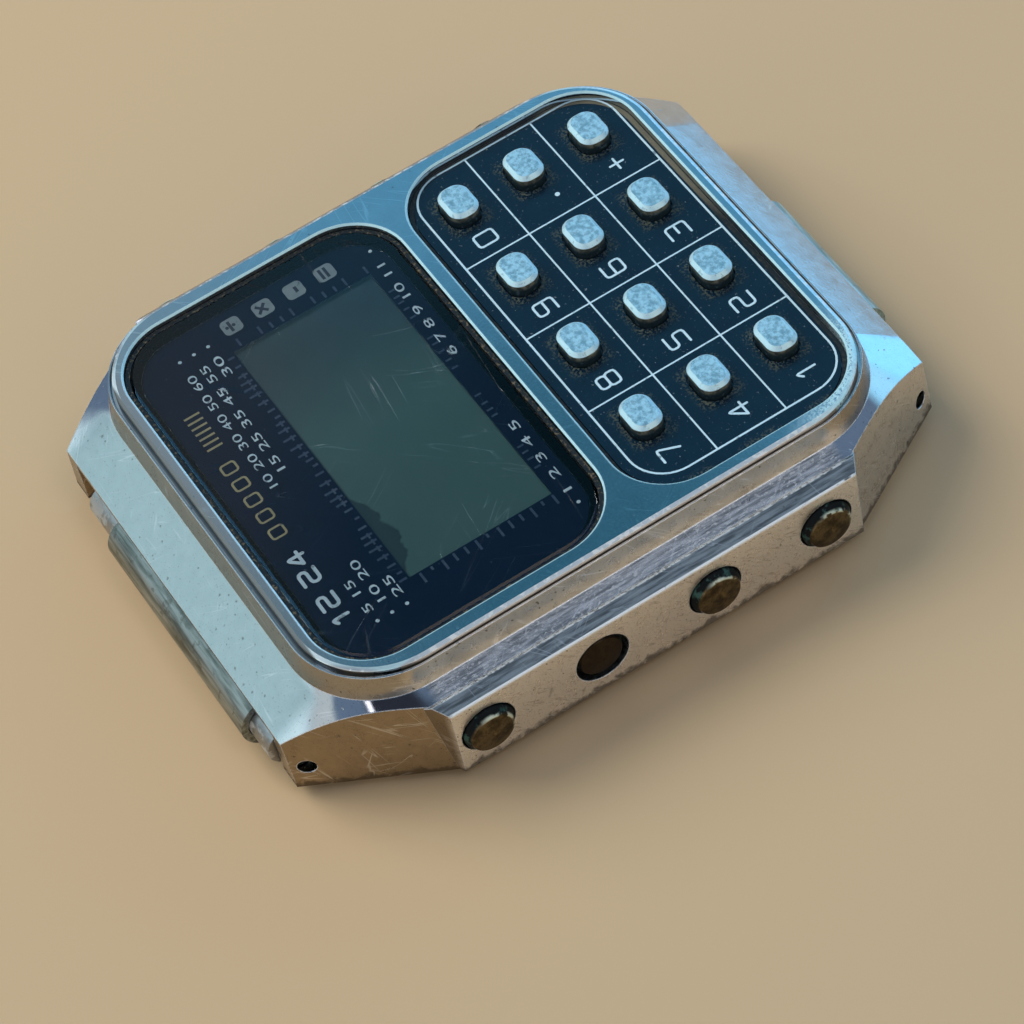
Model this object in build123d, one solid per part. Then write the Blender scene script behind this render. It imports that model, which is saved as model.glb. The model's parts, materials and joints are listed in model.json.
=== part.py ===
"""Calculator watch head, taken apart into its separate pieces.

All sizes are millimetres. X runs to 3 o'clock, Y to 12 o'clock and Z up out of the dial.
The origin is the middle of the case back's outer face, so the watch stands on Z = 0.
"""
from build123d import *
import math
import os

os.makedirs("parts", exist_ok=True)

# Overrun of every cut past the face it opens, and the small gaps between seated pieces
overrun = 1.0
seat_gap = 0.03
slide_gap = 0.05

# Heights, from the case back up to the bezel
back_thick = 0.7
case_rise = 5.3
rim_rise = 1.6
bezel_sink = 0.3
bezel_proud = 0.37
deck_thick = 0.7
deck_sink = 1.3
case_z = back_thick
foot_z = case_z + case_rise
rim_z = foot_z + rim_rise
bezel_z = rim_z - bezel_sink
bezel_top_z = rim_z + bezel_proud
deck_z = rim_z - deck_sink

# Bezel plate, which the rim and the case follow
bezel_half_x = 14.6
bezel_half_y = 16.95
bezel_corner = 5.0
bezel_bevel = 0.12
window_bevel = 0.1

# Rim: the upright wall that carries the bezel, with a wider groove at both ends
groove_x = 0.06
groove_y = 0.2
rim_lip = 0.12
rim_half_x = bezel_half_x + groove_x + rim_lip
rim_half_y = bezel_half_y + groove_y + rim_lip
rim_corner = 5.2
foot_flare_x = 0.12
foot_flare_y = 0.33
foot_half_x = rim_half_x + foot_flare_x
foot_half_y = rim_half_y + foot_flare_y
foot_corner = 5.4

# Case outline: straight ends over the lugs, tilted side facets, flat middle walls
end_run = 2.55
hood_y = foot_half_y + end_run
hood_drop = 1.75
lug_low_x = 12.6
lug_top_x = 11.85
facet_run = 4.4
facet_long = 7.7
facet_y = hood_y - facet_long

# Shoulder: steep at both ends, nearly flat along the sides, a wide cone round the corners
side_drop = 0.36
shoulder_corner_share = 0.9461

# Side pads round the pushers; the right one has a deeper bevel along its upper edge
pad_x = 17.2
pad_inner_x = 16.25
pad_edge_drop_left = 0.3
pad_edge_drop_right = 1.05
pad_crest_drop = 0.08
pad_root = 0.65
pad_root_drop = 0.6
pad_over_facet = 0.05
pad_half_y = facet_y + pad_over_facet
pad_slant_share = 0.6

# Module cavity and the openings in the deck above it
wall_x = 2.0
wall_y = 1.7
cavity_half_x = foot_half_x - wall_x
cavity_half_y = foot_half_y - wall_y
cavity_corner = 4.5

# Spring bars between the lugs, and the rolled tubes of the end links round them
bar_inset = 0.8
bar_y = hood_y - bar_inset
bar_z = 2.2
lug_gap_half = 11.2
recess_r = 1.9
lug_bore_r = 0.46
tip_r = 0.36
tip_collar_r = 0.8
tip_collar_long = 0.6
tip_reach = 12.3
tip_travel = 1.2
barrel_r = 1.3
barrel_bore_r = 0.85
barrel_wall = 0.4
barrel_bore_spare = 1.2
barrel_bore_long = tip_collar_long + tip_travel + barrel_bore_spare
barrel_ends_12 = (-11.0, 9.3)
barrel_ends_6 = (-11.0, 11.0)
roll_gap = 0.06
roll_wall = 0.42
roll_seam = 0.15
roll_ends_12 = (-9.0, 6.2)
roll_ends_6 = (-7.0, 2.9)

# The bezel's two windows and the crossbar between them
end_frame_12 = 0.7
end_frame_6 = 0.65
crossbar_12_y = -1.15
crossbar_6_y = -2.1
dial_side_frame = 1.05
keys_side_frame = 0.9
dial_high_y = bezel_half_y - end_frame_12
dial_y = (dial_high_y + crossbar_12_y) / 2
dial_half_x = bezel_half_x - dial_side_frame
dial_half_y = (dial_high_y - crossbar_12_y) / 2
dial_corner = 3.7
keys_low_y = end_frame_6 - bezel_half_y
keys_y = (crossbar_6_y + keys_low_y) / 2
keys_half_x = bezel_half_x - keys_side_frame
keys_half_y = (crossbar_6_y - keys_low_y) / 2
keys_corner = 3.6

# Crystal, its gasket and the printed mask behind it
gasket_wall = 0.3
gasket_foot = 0.35
gasket_foot_wide = 0.5
gasket_drop = 0.15
crystal_thick = 1.1
crystal_bevel = 0.15
mask_thick = 0.12
mask_left_inset = 4.25
mask_right_inset = 3.75
mask_left_x = mask_left_inset - dial_half_x
mask_right_x = dial_half_x - mask_right_inset
mask_low_inset = 1.5
mask_high_inset = 1.9

# Display: front glass, smaller rear glass, reflector and contact strips
glass_side_inset = 2.85
glass_half_x = dial_half_x - glass_side_inset
glass_low_share = 0.9023
glass_high_share = 0.5
glass_low_y = dial_y - glass_low_share * dial_half_y
glass_high_y = dial_y + glass_high_share * dial_half_y
glass_thick = 0.7
glass_drop = 0.2
rear_inset = 1.3
rear_low_y = glass_low_y + rear_inset
rear_high_y = glass_high_y - rear_inset
reflector_thick = 0.1
strip_side_inset = 0.5
strip_half_x = glass_half_x - strip_side_inset
strip_wide = 0.9
strip_inset = 0.15

# Keypad: plate, seal, keys, rubber mat and contact board
seal_wall = 0.32
seal_tall = 0.35
plate_thick = 0.4
plate_sink = 0.57
plate_ledge = 0.7
key_long = 2.53
key_wide = 1.85
key_corner = 0.78
key_top = 0.95
key_bevel = 0.22
key_flange = 0.38
key_flange_thick = 0.35
key_travel = 0.3
key_gap = 0.1
key_column_share = 0.4577
key_right_share = 0.069
key_row_share = 0.602
key_down_share = 0.015
key_columns = [keys_half_x * (key_right_share + key_column_share * step) for step in (-1.5, -0.5, 0.5, 1.5)]
key_rows = [keys_y + keys_half_y * (key_row_share * step - key_down_share) for step in (1, 0, -1)]
key_names = (("7", "8", "9", "0"), ("4", "5", "6", "point"), ("1", "2", "3", "plus"))
mat_thick = 0.35
mat_play = 0.2
dome_r = 1.25
dome_top_r = 0.9
dome_air = 0.05
board_thick = 0.3

# Pushers: head with a sloped flank in a counterbore, stem through the wall, clip inside
pusher_y = 0.15
pusher_z = 3.25
pusher_pitch = 7.0
pushers_each_side = 4
pusher_head_r = 1.5
pusher_face_r = 1.25
pusher_dome = 0.08
pusher_proud = 0.5
pusher_flank = 0.45
pusher_travel = 0.8
pusher_sunk = 0.6
stem_r = 0.55
stem_tail = 0.3
counterbore_r = 1.62
counterbore_deep = 2.3
clip_r = 1.1
clip_thick = 0.2
clip_groove = 0.15
clip_mouth = 0.6
seal_r = 1.0
seal_long = 0.7
seal_inset = 0.6
spring_wire = 0.16
spring_r = 1.1
spring_turns = 2

# Case back, its gasket and screws
back_half_x = 14.6
back_link_gap = 0.27
back_half_y = bar_y - barrel_r - roll_gap - roll_wall - back_link_gap
back_corner = 2.2
back_rib = 0.35
back_rib_wide = 0.8
back_gasket_out = 0.7
back_gasket_half_x = cavity_half_x + back_gasket_out
back_gasket_half_y = cavity_half_y + back_gasket_out
back_gasket_corner = cavity_corner + back_gasket_out
back_gasket_wide = 0.45
back_gasket_thick = 0.4
screw_inset_x = 1.6
screw_inset_y = 1.35
screw_x = back_half_x - screw_inset_x
screw_y = back_half_y - screw_inset_y
screw_head_r = 0.95
screw_head_thick = 0.35
screw_head_sink = 0.05
screw_r = 0.6
screw_long = 1.9
screw_slot = 0.22
screw_slot_deep = 0.15

# Module: frame, circuit board, battery holder and battery
module_side_gap = 1.6
module_end_gap = 0.4
module_half_x = cavity_half_x - module_side_gap
module_half_y = cavity_half_y - module_end_gap
module_corner = 3.5
holder_gap = 0.05
holder_thick = 1.8
holder_web = 0.4
holder_bridge = 1.1
circuit_thick = 0.7
battery_r = 10.0
battery_thick = 1.6
battery_can = 1.35
battery_cap_r = 8.9
battery_play = 0.1
battery_y = battery_r + battery_play + holder_web - module_half_y
clamp_thick = 0.15
clamp_wide = 4.0
clamp_end = 7.0
clamp_end_long = 2.5
chip_edge = 1.3
chip_play = 0.5
chip_thick = 0.9
battery_top_y = battery_y + battery_r + battery_play
chip_well = (module_half_y - chip_edge - battery_top_y - holder_bridge) / 2
chip_half = chip_well - chip_play
chip_y = battery_top_y + holder_bridge + chip_well
sounder_gap = 0.15
sounder_r = 5.3
sounder_thick = 0.12
sounder_disc_r = 4.0
sounder_disc_thick = 0.1
sounder_y = cavity_half_y - slide_gap - back_rib_wide - sounder_gap - sounder_r
lamp_inset = 2.1
lamp_side_inset = 3.3
lamp_x = glass_half_x - lamp_side_inset
lamp_y = module_half_y - lamp_inset
lamp_r = 0.5
lamp_long = 3.4

# Places that follow from the sizes above
wall_top_x = lug_top_x + facet_run
end_slope = hood_drop / (hood_y - foot_half_y)
side_slope = side_drop / (wall_top_x - foot_half_x)
crystal_z = deck_z + gasket_foot
crystal_top_z = crystal_z + crystal_thick
crystal_half_x = dial_half_x - gasket_wall
crystal_half_y = dial_half_y - gasket_wall
crystal_corner = dial_corner - gasket_wall
plate_top_z = bezel_top_z - plate_sink
plate_z = plate_top_z - plate_thick
plate_half_x = keys_half_x - seal_wall - seat_gap
plate_half_y = keys_half_y - seal_wall - seat_gap
plate_corner = keys_corner - seal_wall - seat_gap
keys_open_x = plate_half_x - plate_ledge
keys_open_y = plate_half_y - plate_ledge
keys_open_corner = plate_corner - plate_ledge
flange_top_z = plate_z - slide_gap
flange_z = flange_top_z - key_flange_thick
dome_z = flange_z - key_travel - dome_air
cavity_top_z = deck_z - deck_thick
mat_z = cavity_top_z - 2 * seat_gap - slide_gap
board_z = mat_z - board_thick
glass_top_z = deck_z + glass_drop - slide_gap
glass_z = glass_top_z - glass_thick
rear_z = glass_z - glass_thick
reflector_z = rear_z - reflector_thick
holder_z = case_z + back_rib + holder_gap
circuit_z = holder_z + holder_thick
frame_z = circuit_z + circuit_thick
floor_x = pad_x - counterbore_deep
clip_x = cavity_half_x - slide_gap - clip_thick
spring_pitch = spring_wire + seat_gap
spring_tall = spring_pitch * spring_turns + spring_wire
head_x = floor_x + spring_tall + 2 * seat_gap + pusher_travel
pusher_head_long = pad_x + pusher_proud - head_x


def rounded(half_x, half_y, corner, z, y=0):
    """Rounded rectangle at height z, centred on x = 0 and the given y."""
    return Pos(0, y, z) * RectangleRounded(2 * half_x, 2 * half_y, corner)


def slab(half_x, half_y, corner, low, high, y=0):
    """Upright block with a rounded rectangle as its plan."""
    return extrude(rounded(half_x, half_y, corner, low, y), high - low)


def block(low, high):
    """Plain box between two opposite corners."""
    size = [b - a for a, b in zip(low, high)]
    return Pos(*low) * Box(*size, align=(Align.MIN, Align.MIN, Align.MIN))


def disc(radius, low, high, x=0, y=0):
    """Upright cylinder between two heights."""
    return Pos(x, y, low) * Cylinder(radius, high - low, align=(Align.CENTER, Align.CENTER, Align.MIN))


def bar(radius, left, right, y, z):
    """Cylinder along X between two places."""
    lying = Pos(left, y, z) * Rot(0, 90, 0)
    return lying * Cylinder(radius, right - left, align=(Align.CENTER, Align.CENTER, Align.MIN))


def ring(outer_half_x, outer_half_y, outer_corner, wide, low, high, y=0):
    """Rounded rectangular ring of even width."""
    inner = slab(outer_half_x - wide, outer_half_y - wide, outer_corner - wide,
                 low - overrun, high + overrun, y)
    return slab(outer_half_x, outer_half_y, outer_corner, low, high, y) - inner


def top_edges(shape):
    """Edges of the highest flat face."""
    return shape.faces().sort_by(Axis.Z)[-1].edges()


def side_places():
    """Every pusher as its side, its number from 12 o'clock down, its y and how far it is stuck in."""
    for side, sign in (("left", -1), ("right", 1)):
        for number in range(1, pushers_each_side + 1):
            y = pusher_y + ((pushers_each_side + 1) / 2 - number) * pusher_pitch
            sunk = pusher_sunk if (side, number) == ("left", 2) else 0
            yield side, sign, number, y, sunk


def outward(sign, x, y, z):
    """Turns a shape built along +Z so that it points out of the case side."""
    return Pos(sign * x, y, z) * Rot(0, sign * 90, 0)


def octagon(lug_x, z):
    """Plan of the case at one height: straight ends, facets and middle walls."""
    wall_x = lug_x + facet_run
    quarter = ((wall_x, facet_y), (lug_x, hood_y))
    points = [(x, y) for x, y in quarter]
    points += [(-x, y) for x, y in reversed(quarter)]
    points += [(-x, -y) for x, y in quarter]
    points += [(x, -y) for x, y in reversed(quarter)]
    return Pos(0, 0, z) * Polygon(*points, align=None)


def side_pad(sign):
    """Raised pad along one side: upright face, bevelled top and slanted ends."""
    root_x = pad_inner_x - pad_root
    crest_z = foot_z - pad_crest_drop
    edge_drop = pad_edge_drop_right if sign > 0 else pad_edge_drop_left
    section = Plane.XZ * Polygon(
        (root_x, case_z), (pad_x, case_z), (pad_x, foot_z - edge_drop),
        (pad_inner_x, crest_z), (root_x, foot_z - pad_root_drop), align=None)
    long_y = pad_half_y + pad_slant_share * (pad_x - root_x)
    plan = Pos(0, 0, case_z) * Polygon(
        (root_x, -long_y), (pad_x, -pad_half_y), (pad_x, pad_half_y), (root_x, long_y), align=None)
    pad = extrude(section, long_y, both=True) & extrude(plan, case_rise)
    return pad if sign > 0 else mirror(pad, Plane.YZ)


def lug_recess(sign):
    """Room for a spring bar and its rolled tube under one hood."""
    y = sign * bar_y
    inner_y = sign * (bar_y - recess_r)
    outer_y = sign * (hood_y + overrun)
    below = block((-lug_gap_half, min(inner_y, outer_y), case_z - overrun),
                  (lug_gap_half, max(inner_y, outer_y), bar_z))
    return bar(recess_r, -lug_gap_half, lug_gap_half, y, bar_z) + below


def case_outside():
    """Lug block under the cone-cornered shoulder, with the rim and both pads."""
    low_z = case_z - seat_gap
    depth = foot_z - low_z
    skirt_half_y = foot_half_y + depth / end_slope
    skirt = rounded(foot_half_x + depth / side_slope, skirt_half_y,
                    shoulder_corner_share * skirt_half_y, low_z)
    foot = rounded(foot_half_x, foot_half_y, foot_corner, foot_z)
    shoulder = loft([skirt, foot], ruled=True)
    block_body = loft([octagon(lug_low_x, case_z), octagon(lug_top_x, foot_z)], ruled=True)
    rim = loft([foot, rounded(rim_half_x, rim_half_y, rim_corner, rim_z)], ruled=True)
    return (block_body & shoulder) + rim + side_pad(1) + side_pad(-1)


def case_body():
    """Case with its cavity, windows, pusher bores, lug recesses and screw holes."""
    case = case_outside()
    case -= slab(rim_half_x - rim_lip, rim_half_y - rim_lip, rim_corner - rim_lip,
                 bezel_z, rim_z + overrun)
    case -= slab(dial_half_x, dial_half_y, dial_corner, deck_z, rim_z, dial_y)
    case -= slab(keys_half_x, keys_half_y, keys_corner, plate_z, rim_z, keys_y)
    case -= slab(keys_open_x, keys_open_y, keys_open_corner, case_z, rim_z, keys_y)
    case -= block((-glass_half_x - slide_gap, glass_low_y - slide_gap, case_z),
                  (glass_half_x + slide_gap, glass_high_y + slide_gap, rim_z))
    case -= slab(cavity_half_x, cavity_half_y, cavity_corner, case_z - overrun, cavity_top_z)
    case -= ring(back_gasket_half_x + seat_gap, back_gasket_half_y + seat_gap,
                 back_gasket_corner + seat_gap, back_gasket_wide + 2 * seat_gap,
                 case_z - overrun, case_z + back_gasket_thick)
    for sign in (-1, 1):
        case -= lug_recess(sign)
        case -= bar(lug_bore_r, -foot_half_y, foot_half_y, sign * bar_y, bar_z)
    for side, sign, number, y, sunk in side_places():
        case -= outward(sign, floor_x, y, pusher_z) * disc(counterbore_r, 0, counterbore_deep + overrun)
        case -= outward(sign, 0, y, pusher_z) * disc(stem_r + slide_gap, cavity_half_x - overrun, floor_x)
        case -= (outward(sign, 0, y, pusher_z)
                 * disc(seal_r, cavity_half_x + seal_inset, cavity_half_x + seal_inset + seal_long))
    for x in (-screw_x, screw_x):
        for y in (-screw_y, screw_y):
            case -= disc(screw_r + seat_gap, case_z - overrun, case_z + screw_long + seat_gap, x, y)
    return case


def bezel():
    """Flat plate in the rim with a dial window and a keypad window."""
    plate = slab(bezel_half_x, bezel_half_y, bezel_corner, bezel_z, bezel_top_z)
    plate = chamfer(top_edges(plate), bezel_bevel)
    plate -= slab(dial_half_x, dial_half_y, dial_corner, bezel_z - overrun, rim_z + overrun, dial_y)
    plate -= slab(keys_half_x, keys_half_y, keys_corner, bezel_z - overrun, rim_z + overrun, keys_y)
    window_edges = [edge for edge in top_edges(plate) if in_window(edge)]
    return chamfer(window_edges, window_bevel)


def in_window(edge):
    """True for an edge that bounds one of the bezel's two windows."""
    middle = edge.position_at(0.5)
    for y, half_x, half_y in ((dial_y, dial_half_x, dial_half_y), (keys_y, keys_half_x, keys_half_y)):
        if abs(middle.X) < half_x + seat_gap and abs(middle.Y - y) < half_y + seat_gap:
            return True
    return False


def lcd_crystal():
    """Mineral glass with a bevelled top edge."""
    glass = slab(crystal_half_x - seat_gap, crystal_half_y - seat_gap, crystal_corner - seat_gap,
                 crystal_z, crystal_top_z, dial_y)
    return chamfer(top_edges(glass), crystal_bevel)


def crystal_gasket():
    """L-shaped rubber ring: a wall round the crystal and a foot under its edge."""
    wall = ring(dial_half_x - seat_gap, dial_half_y - seat_gap, dial_corner - seat_gap,
                gasket_wall - seat_gap, deck_z, crystal_top_z - gasket_drop, dial_y)
    foot = ring(dial_half_x - seat_gap, dial_half_y - seat_gap, dial_corner - seat_gap,
                gasket_wall + gasket_foot_wide, deck_z, crystal_z, dial_y)
    return wall + foot


def printed_mask():
    """Dark printed sheet against the crystal's back, open over the display."""
    inset = gasket_wall + gasket_foot_wide + 2 * seat_gap
    sheet = slab(dial_half_x - inset, dial_half_y - inset, dial_corner - inset,
                 crystal_z - mask_thick, crystal_z, dial_y)
    return sheet - block((mask_left_x, glass_low_y + mask_low_inset, deck_z),
                         (mask_right_x, glass_high_y - mask_high_inset, crystal_top_z))


def lcd_panel():
    """Display sandwich: the front glass overhangs the rear glass along both long edges."""
    front = block((-glass_half_x, glass_low_y, glass_z), (glass_half_x, glass_high_y, glass_top_z))
    rear = block((-glass_half_x, rear_low_y, rear_z), (glass_half_x, rear_high_y, glass_z))
    return front + rear


def lcd_reflector():
    """Thin reflecting sheet behind the rear glass."""
    return block((-glass_half_x, rear_low_y, reflector_z), (glass_half_x, rear_high_y, rear_z))


def strip_places():
    """Low and high y of the two contact strips under the front glass's overhangs."""
    first = glass_low_y + strip_inset
    last = glass_high_y - strip_inset
    return (first, first + strip_wide), (last - strip_wide, last)


def zebra_strips():
    """Two rubber contact strips from the circuit board up to the front glass."""
    return [block((-strip_half_x, low, frame_z), (strip_half_x, high, glass_z))
            for low, high in strip_places()]


def key_places():
    """Name and centre of every key."""
    for row, y in enumerate(key_rows):
        for column, x in enumerate(key_columns):
            yield key_names[row][column], x, y


def keypad_plate():
    """Dark plate with a rounded hole for every key."""
    plate = slab(plate_half_x, plate_half_y, plate_corner, plate_z, plate_top_z, keys_y)
    hole = extrude(RectangleRounded(key_long + 2 * key_gap, key_wide + 2 * key_gap,
                                    key_corner + key_gap), plate_thick + 2 * overrun)
    for name, x, y in key_places():
        plate -= Pos(x, y, plate_z - overrun) * hole
    return plate


def keypad_seal():
    """Rubber ring between the plate and the bezel's keypad window."""
    return ring(keys_half_x - seat_gap, keys_half_y - seat_gap, keys_corner - seat_gap,
                seal_wall - seat_gap, plate_z, plate_z + seal_tall, keys_y)


def key():
    """One metal key: a bevelled cap on a wider flange that stays under the plate."""
    cap_tall = plate_top_z + key_top - flange_top_z
    cap = extrude(RectangleRounded(key_long, key_wide, key_corner), cap_tall)
    cap = Pos(0, 0, flange_top_z) * chamfer(top_edges(cap), key_bevel)
    flange = extrude(RectangleRounded(key_long + 2 * key_flange, key_wide + 2 * key_flange,
                                      key_corner), key_flange_thick)
    return cap + Pos(0, 0, flange_z) * flange


def keypad_rubber():
    """Rubber mat with a dome under every key."""
    mat = slab(keys_open_x - mat_play, keys_open_y - mat_play, keys_open_corner,
               mat_z, mat_z + mat_thick, keys_y)
    dome = Cone(dome_r, dome_top_r, dome_z - mat_z - mat_thick,
                align=(Align.CENTER, Align.CENTER, Align.MIN))
    for name, x, y in key_places():
        mat += Pos(x, y, mat_z + mat_thick) * dome
    return mat


def key_contact_board():
    """Thin contact board that the rubber mat lies on."""
    return slab(keys_open_x - mat_play, keys_open_y - mat_play, keys_open_corner,
                board_z, mat_z, keys_y)


def pusher(sign, y, sunk):
    """Turned pusher: head with a sloped flank and a slight dome, stem and a groove for its clip."""
    low = clip_x - stem_tail
    edge = head_x + pusher_head_long
    groove_r = stem_r - clip_groove
    groove_low = clip_x - seat_gap
    groove_high = clip_x + clip_thick + seat_gap
    side = Polyline((0, low), (stem_r, low), (stem_r, groove_low), (groove_r, groove_low),
                    (groove_r, groove_high), (stem_r, groove_high), (stem_r, head_x),
                    (pusher_head_r, head_x), (pusher_head_r, edge - pusher_flank), (pusher_face_r, edge))
    crown = (0, edge + pusher_dome)
    ball_r = (pusher_face_r ** 2 + pusher_dome ** 2) / (2 * pusher_dome)
    middle_r = pusher_face_r / 2
    middle = (middle_r, edge + pusher_dome - ball_r + math.sqrt(ball_r ** 2 - middle_r ** 2))
    dome = ThreePointArc((pusher_face_r, edge), middle, crown)
    profile = make_face(Plane.XZ * (side + dome + Line(crown, (0, low))))
    return outward(sign, -sunk, y, pusher_z) * revolve(profile, Axis.Z)


def pusher_clip(sign, y, sunk):
    """Open clip in the stem's groove, against the inside of the case wall."""
    washer = disc(clip_r, 0, clip_thick) - disc(stem_r - clip_groove + seat_gap, -overrun, overrun)
    washer -= block((-clip_mouth / 2, 0, -overrun), (clip_mouth / 2, clip_r + overrun, overrun))
    return outward(sign, clip_x - sunk, y, pusher_z) * washer


def pusher_springs():
    """Return springs, drawn pressed flat on the floors of their counterbores."""
    path = Helix(spring_pitch, spring_pitch * spring_turns, spring_r)
    wire = Plane(origin=path @ 0, z_dir=path % 0) * Circle(spring_wire / 2)
    coil = Pos(0, 0, spring_wire / 2) * sweep(wire, path=path, is_frenet=True)
    return [outward(sign, floor_x + seat_gap, y, pusher_z) * coil
            for side, sign, number, y, sunk in side_places()]


def pusher_seals():
    """Rubber rings round the stems, in their seats in the case wall."""
    seal = (disc(seal_r - seat_gap, seat_gap, seal_long - seat_gap)
            - disc(stem_r + seat_gap, -overrun, seal_long + overrun))
    return [outward(sign, cavity_half_x + seal_inset, y, pusher_z) * seal
            for side, sign, number, y, sunk in side_places()]


def spring_bar(ends, y):
    """Hollow barrel with a small opening for a sprung tip at each end."""
    left, right = ends
    barrel = bar(barrel_r, left, right, y, bar_z)
    barrel -= bar(tip_r + slide_gap, left - overrun, right + overrun, y, bar_z)
    barrel -= bar(barrel_bore_r, left + barrel_wall, left + barrel_wall + barrel_bore_long, y, bar_z)
    barrel -= bar(barrel_bore_r, right - barrel_wall - barrel_bore_long, right - barrel_wall, y, bar_z)
    return barrel


def bar_tip(ends, y, sign):
    """Sprung tip: a pin into the lug, with a collar kept inside the barrel."""
    end = ends[1] if sign > 0 else -ends[0]
    collar = end - barrel_wall - slide_gap
    pin = bar(tip_r, collar - tip_collar_long, tip_reach, y, bar_z)
    pin += bar(tip_collar_r, collar - tip_collar_long, collar, y, bar_z)
    return pin if sign > 0 else mirror(pin, Plane.YZ)


def end_link(ends, y):
    """What is left of the bracelet: a sheet rolled round the spring bar, open along its seam."""
    left, right = ends
    inner_r = barrel_r + roll_gap
    roll = bar(inner_r + roll_wall, left, right, y, bar_z)
    roll -= bar(inner_r, left - overrun, right + overrun, y, bar_z)
    seam = block((left - overrun, y - roll_seam / 2, bar_z - inner_r - roll_wall - overrun),
                 (right + overrun, y + roll_seam / 2, bar_z))
    return roll - seam


def case_back():
    """Steel back plate with a locating rib and four screw seats."""
    plate = slab(back_half_x, back_half_y, back_corner, 0, case_z)
    plate = chamfer(plate.faces().sort_by(Axis.Z)[0].edges(), bezel_bevel)
    plate += ring(cavity_half_x - slide_gap, cavity_half_y - slide_gap, cavity_corner - slide_gap,
                  back_rib_wide, case_z, case_z + back_rib)
    for x in (-screw_x, screw_x):
        for y in (-screw_y, screw_y):
            plate -= disc(screw_head_r + slide_gap, -overrun,
                          screw_head_sink + screw_head_thick + seat_gap, x, y)
            plate -= disc(screw_r + slide_gap, -overrun, case_z + overrun, x, y)
    return plate


def back_gasket():
    """Rubber ring in the groove of the case's underside."""
    return ring(back_gasket_half_x, back_gasket_half_y, back_gasket_corner, back_gasket_wide,
                case_z, case_z + back_gasket_thick - seat_gap)


def back_screws():
    """Four slotted screws that hold the case back."""
    head_z = screw_head_sink
    neck_z = head_z + screw_head_thick
    screw = disc(screw_head_r, head_z, neck_z) + disc(screw_r, neck_z, case_z + screw_long)
    screw -= block((-screw_head_r - overrun, -screw_slot / 2, head_z - overrun),
                   (screw_head_r + overrun, screw_slot / 2, head_z + screw_slot_deep))
    return [Pos(x, y, 0) * screw for x in (-screw_x, screw_x) for y in (-screw_y, screw_y)]


def module_frame():
    """Plastic frame: a deep half that carries the display and a lower half under the keypad."""
    split_y = keys_y + plate_half_y
    frame = slab(module_half_x, module_half_y, module_corner, frame_z, cavity_top_z - seat_gap)
    frame -= block((-cavity_half_x, -cavity_half_y, board_z), (cavity_half_x, split_y, deck_z))
    frame -= block((-glass_half_x - seat_gap, rear_low_y - seat_gap, reflector_z),
                   (glass_half_x + seat_gap, rear_high_y + seat_gap, deck_z))
    for low, high in strip_places():
        frame -= block((-strip_half_x - seat_gap, low - seat_gap, frame_z - overrun),
                       (strip_half_x + seat_gap, high + seat_gap, deck_z))
    groove = bar(lamp_r + seat_gap, lamp_x - lamp_long / 2 - seat_gap, lamp_x + lamp_long / 2 + seat_gap,
                 lamp_y, cavity_top_z - lamp_r - 2 * seat_gap)
    groove += block((lamp_x - lamp_long / 2 - seat_gap, lamp_y - lamp_r - seat_gap,
                     cavity_top_z - lamp_r - 2 * seat_gap),
                    (lamp_x + lamp_long / 2 + seat_gap, lamp_y + lamp_r + seat_gap, deck_z))
    return frame - groove


def circuit_board():
    """Board with its chip under resin on the lower face."""
    board = slab(module_half_x, module_half_y, module_corner, circuit_z, frame_z)
    resin = slab(chip_half, chip_half, chip_half / 2, circuit_z - chip_thick, circuit_z, chip_y)
    return board + resin


def battery_holder():
    """Plastic lower half of the module with the battery's well and a window for the chip."""
    holder = slab(module_half_x, module_half_y, module_corner, holder_z, circuit_z)
    holder -= disc(battery_r + battery_play, holder_z - overrun, circuit_z + overrun, 0, battery_y)
    reach = chip_half + chip_play
    return holder - slab(reach, reach, chip_half / 2, holder_z - overrun, circuit_z + overrun, chip_y)


def battery():
    """Coin cell: a can with a smaller raised cap."""
    can = disc(battery_r, holder_z, holder_z + battery_can, 0, battery_y)
    return can + disc(battery_cap_r, holder_z + battery_can, holder_z + battery_thick, 0, battery_y)


def battery_clamp():
    """Steel strap across the battery with wider ends on the holder."""
    low = holder_z - clamp_thick
    reach = module_half_x - slide_gap
    strap = block((-reach, battery_y - clamp_wide / 2, low), (reach, battery_y + clamp_wide / 2, holder_z))
    for left in (-reach, reach - clamp_end_long):
        strap += block((left, battery_y - clamp_end / 2, low),
                       (left + clamp_end_long, battery_y + clamp_end / 2, holder_z))
    return strap


def sounder():
    """Thin disc on the inside of the case back."""
    plate = disc(sounder_r, case_z, case_z + sounder_thick, 0, sounder_y)
    top = case_z + sounder_thick
    return plate + disc(sounder_disc_r, top, top + sounder_disc_thick, 0, sounder_y)


def lamp():
    """Grain lamp in its groove beside the display."""
    z = cavity_top_z - lamp_r - 2 * seat_gap
    return bar(lamp_r, lamp_x - lamp_long / 2, lamp_x + lamp_long / 2, lamp_y, z)


def write(name, pieces):
    """Writes one node, as one solid or as a group of separate ones."""
    shape = Compound(children=list(pieces)) if isinstance(pieces, list) else pieces
    export_step(shape, f"parts/{name}.step")


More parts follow.
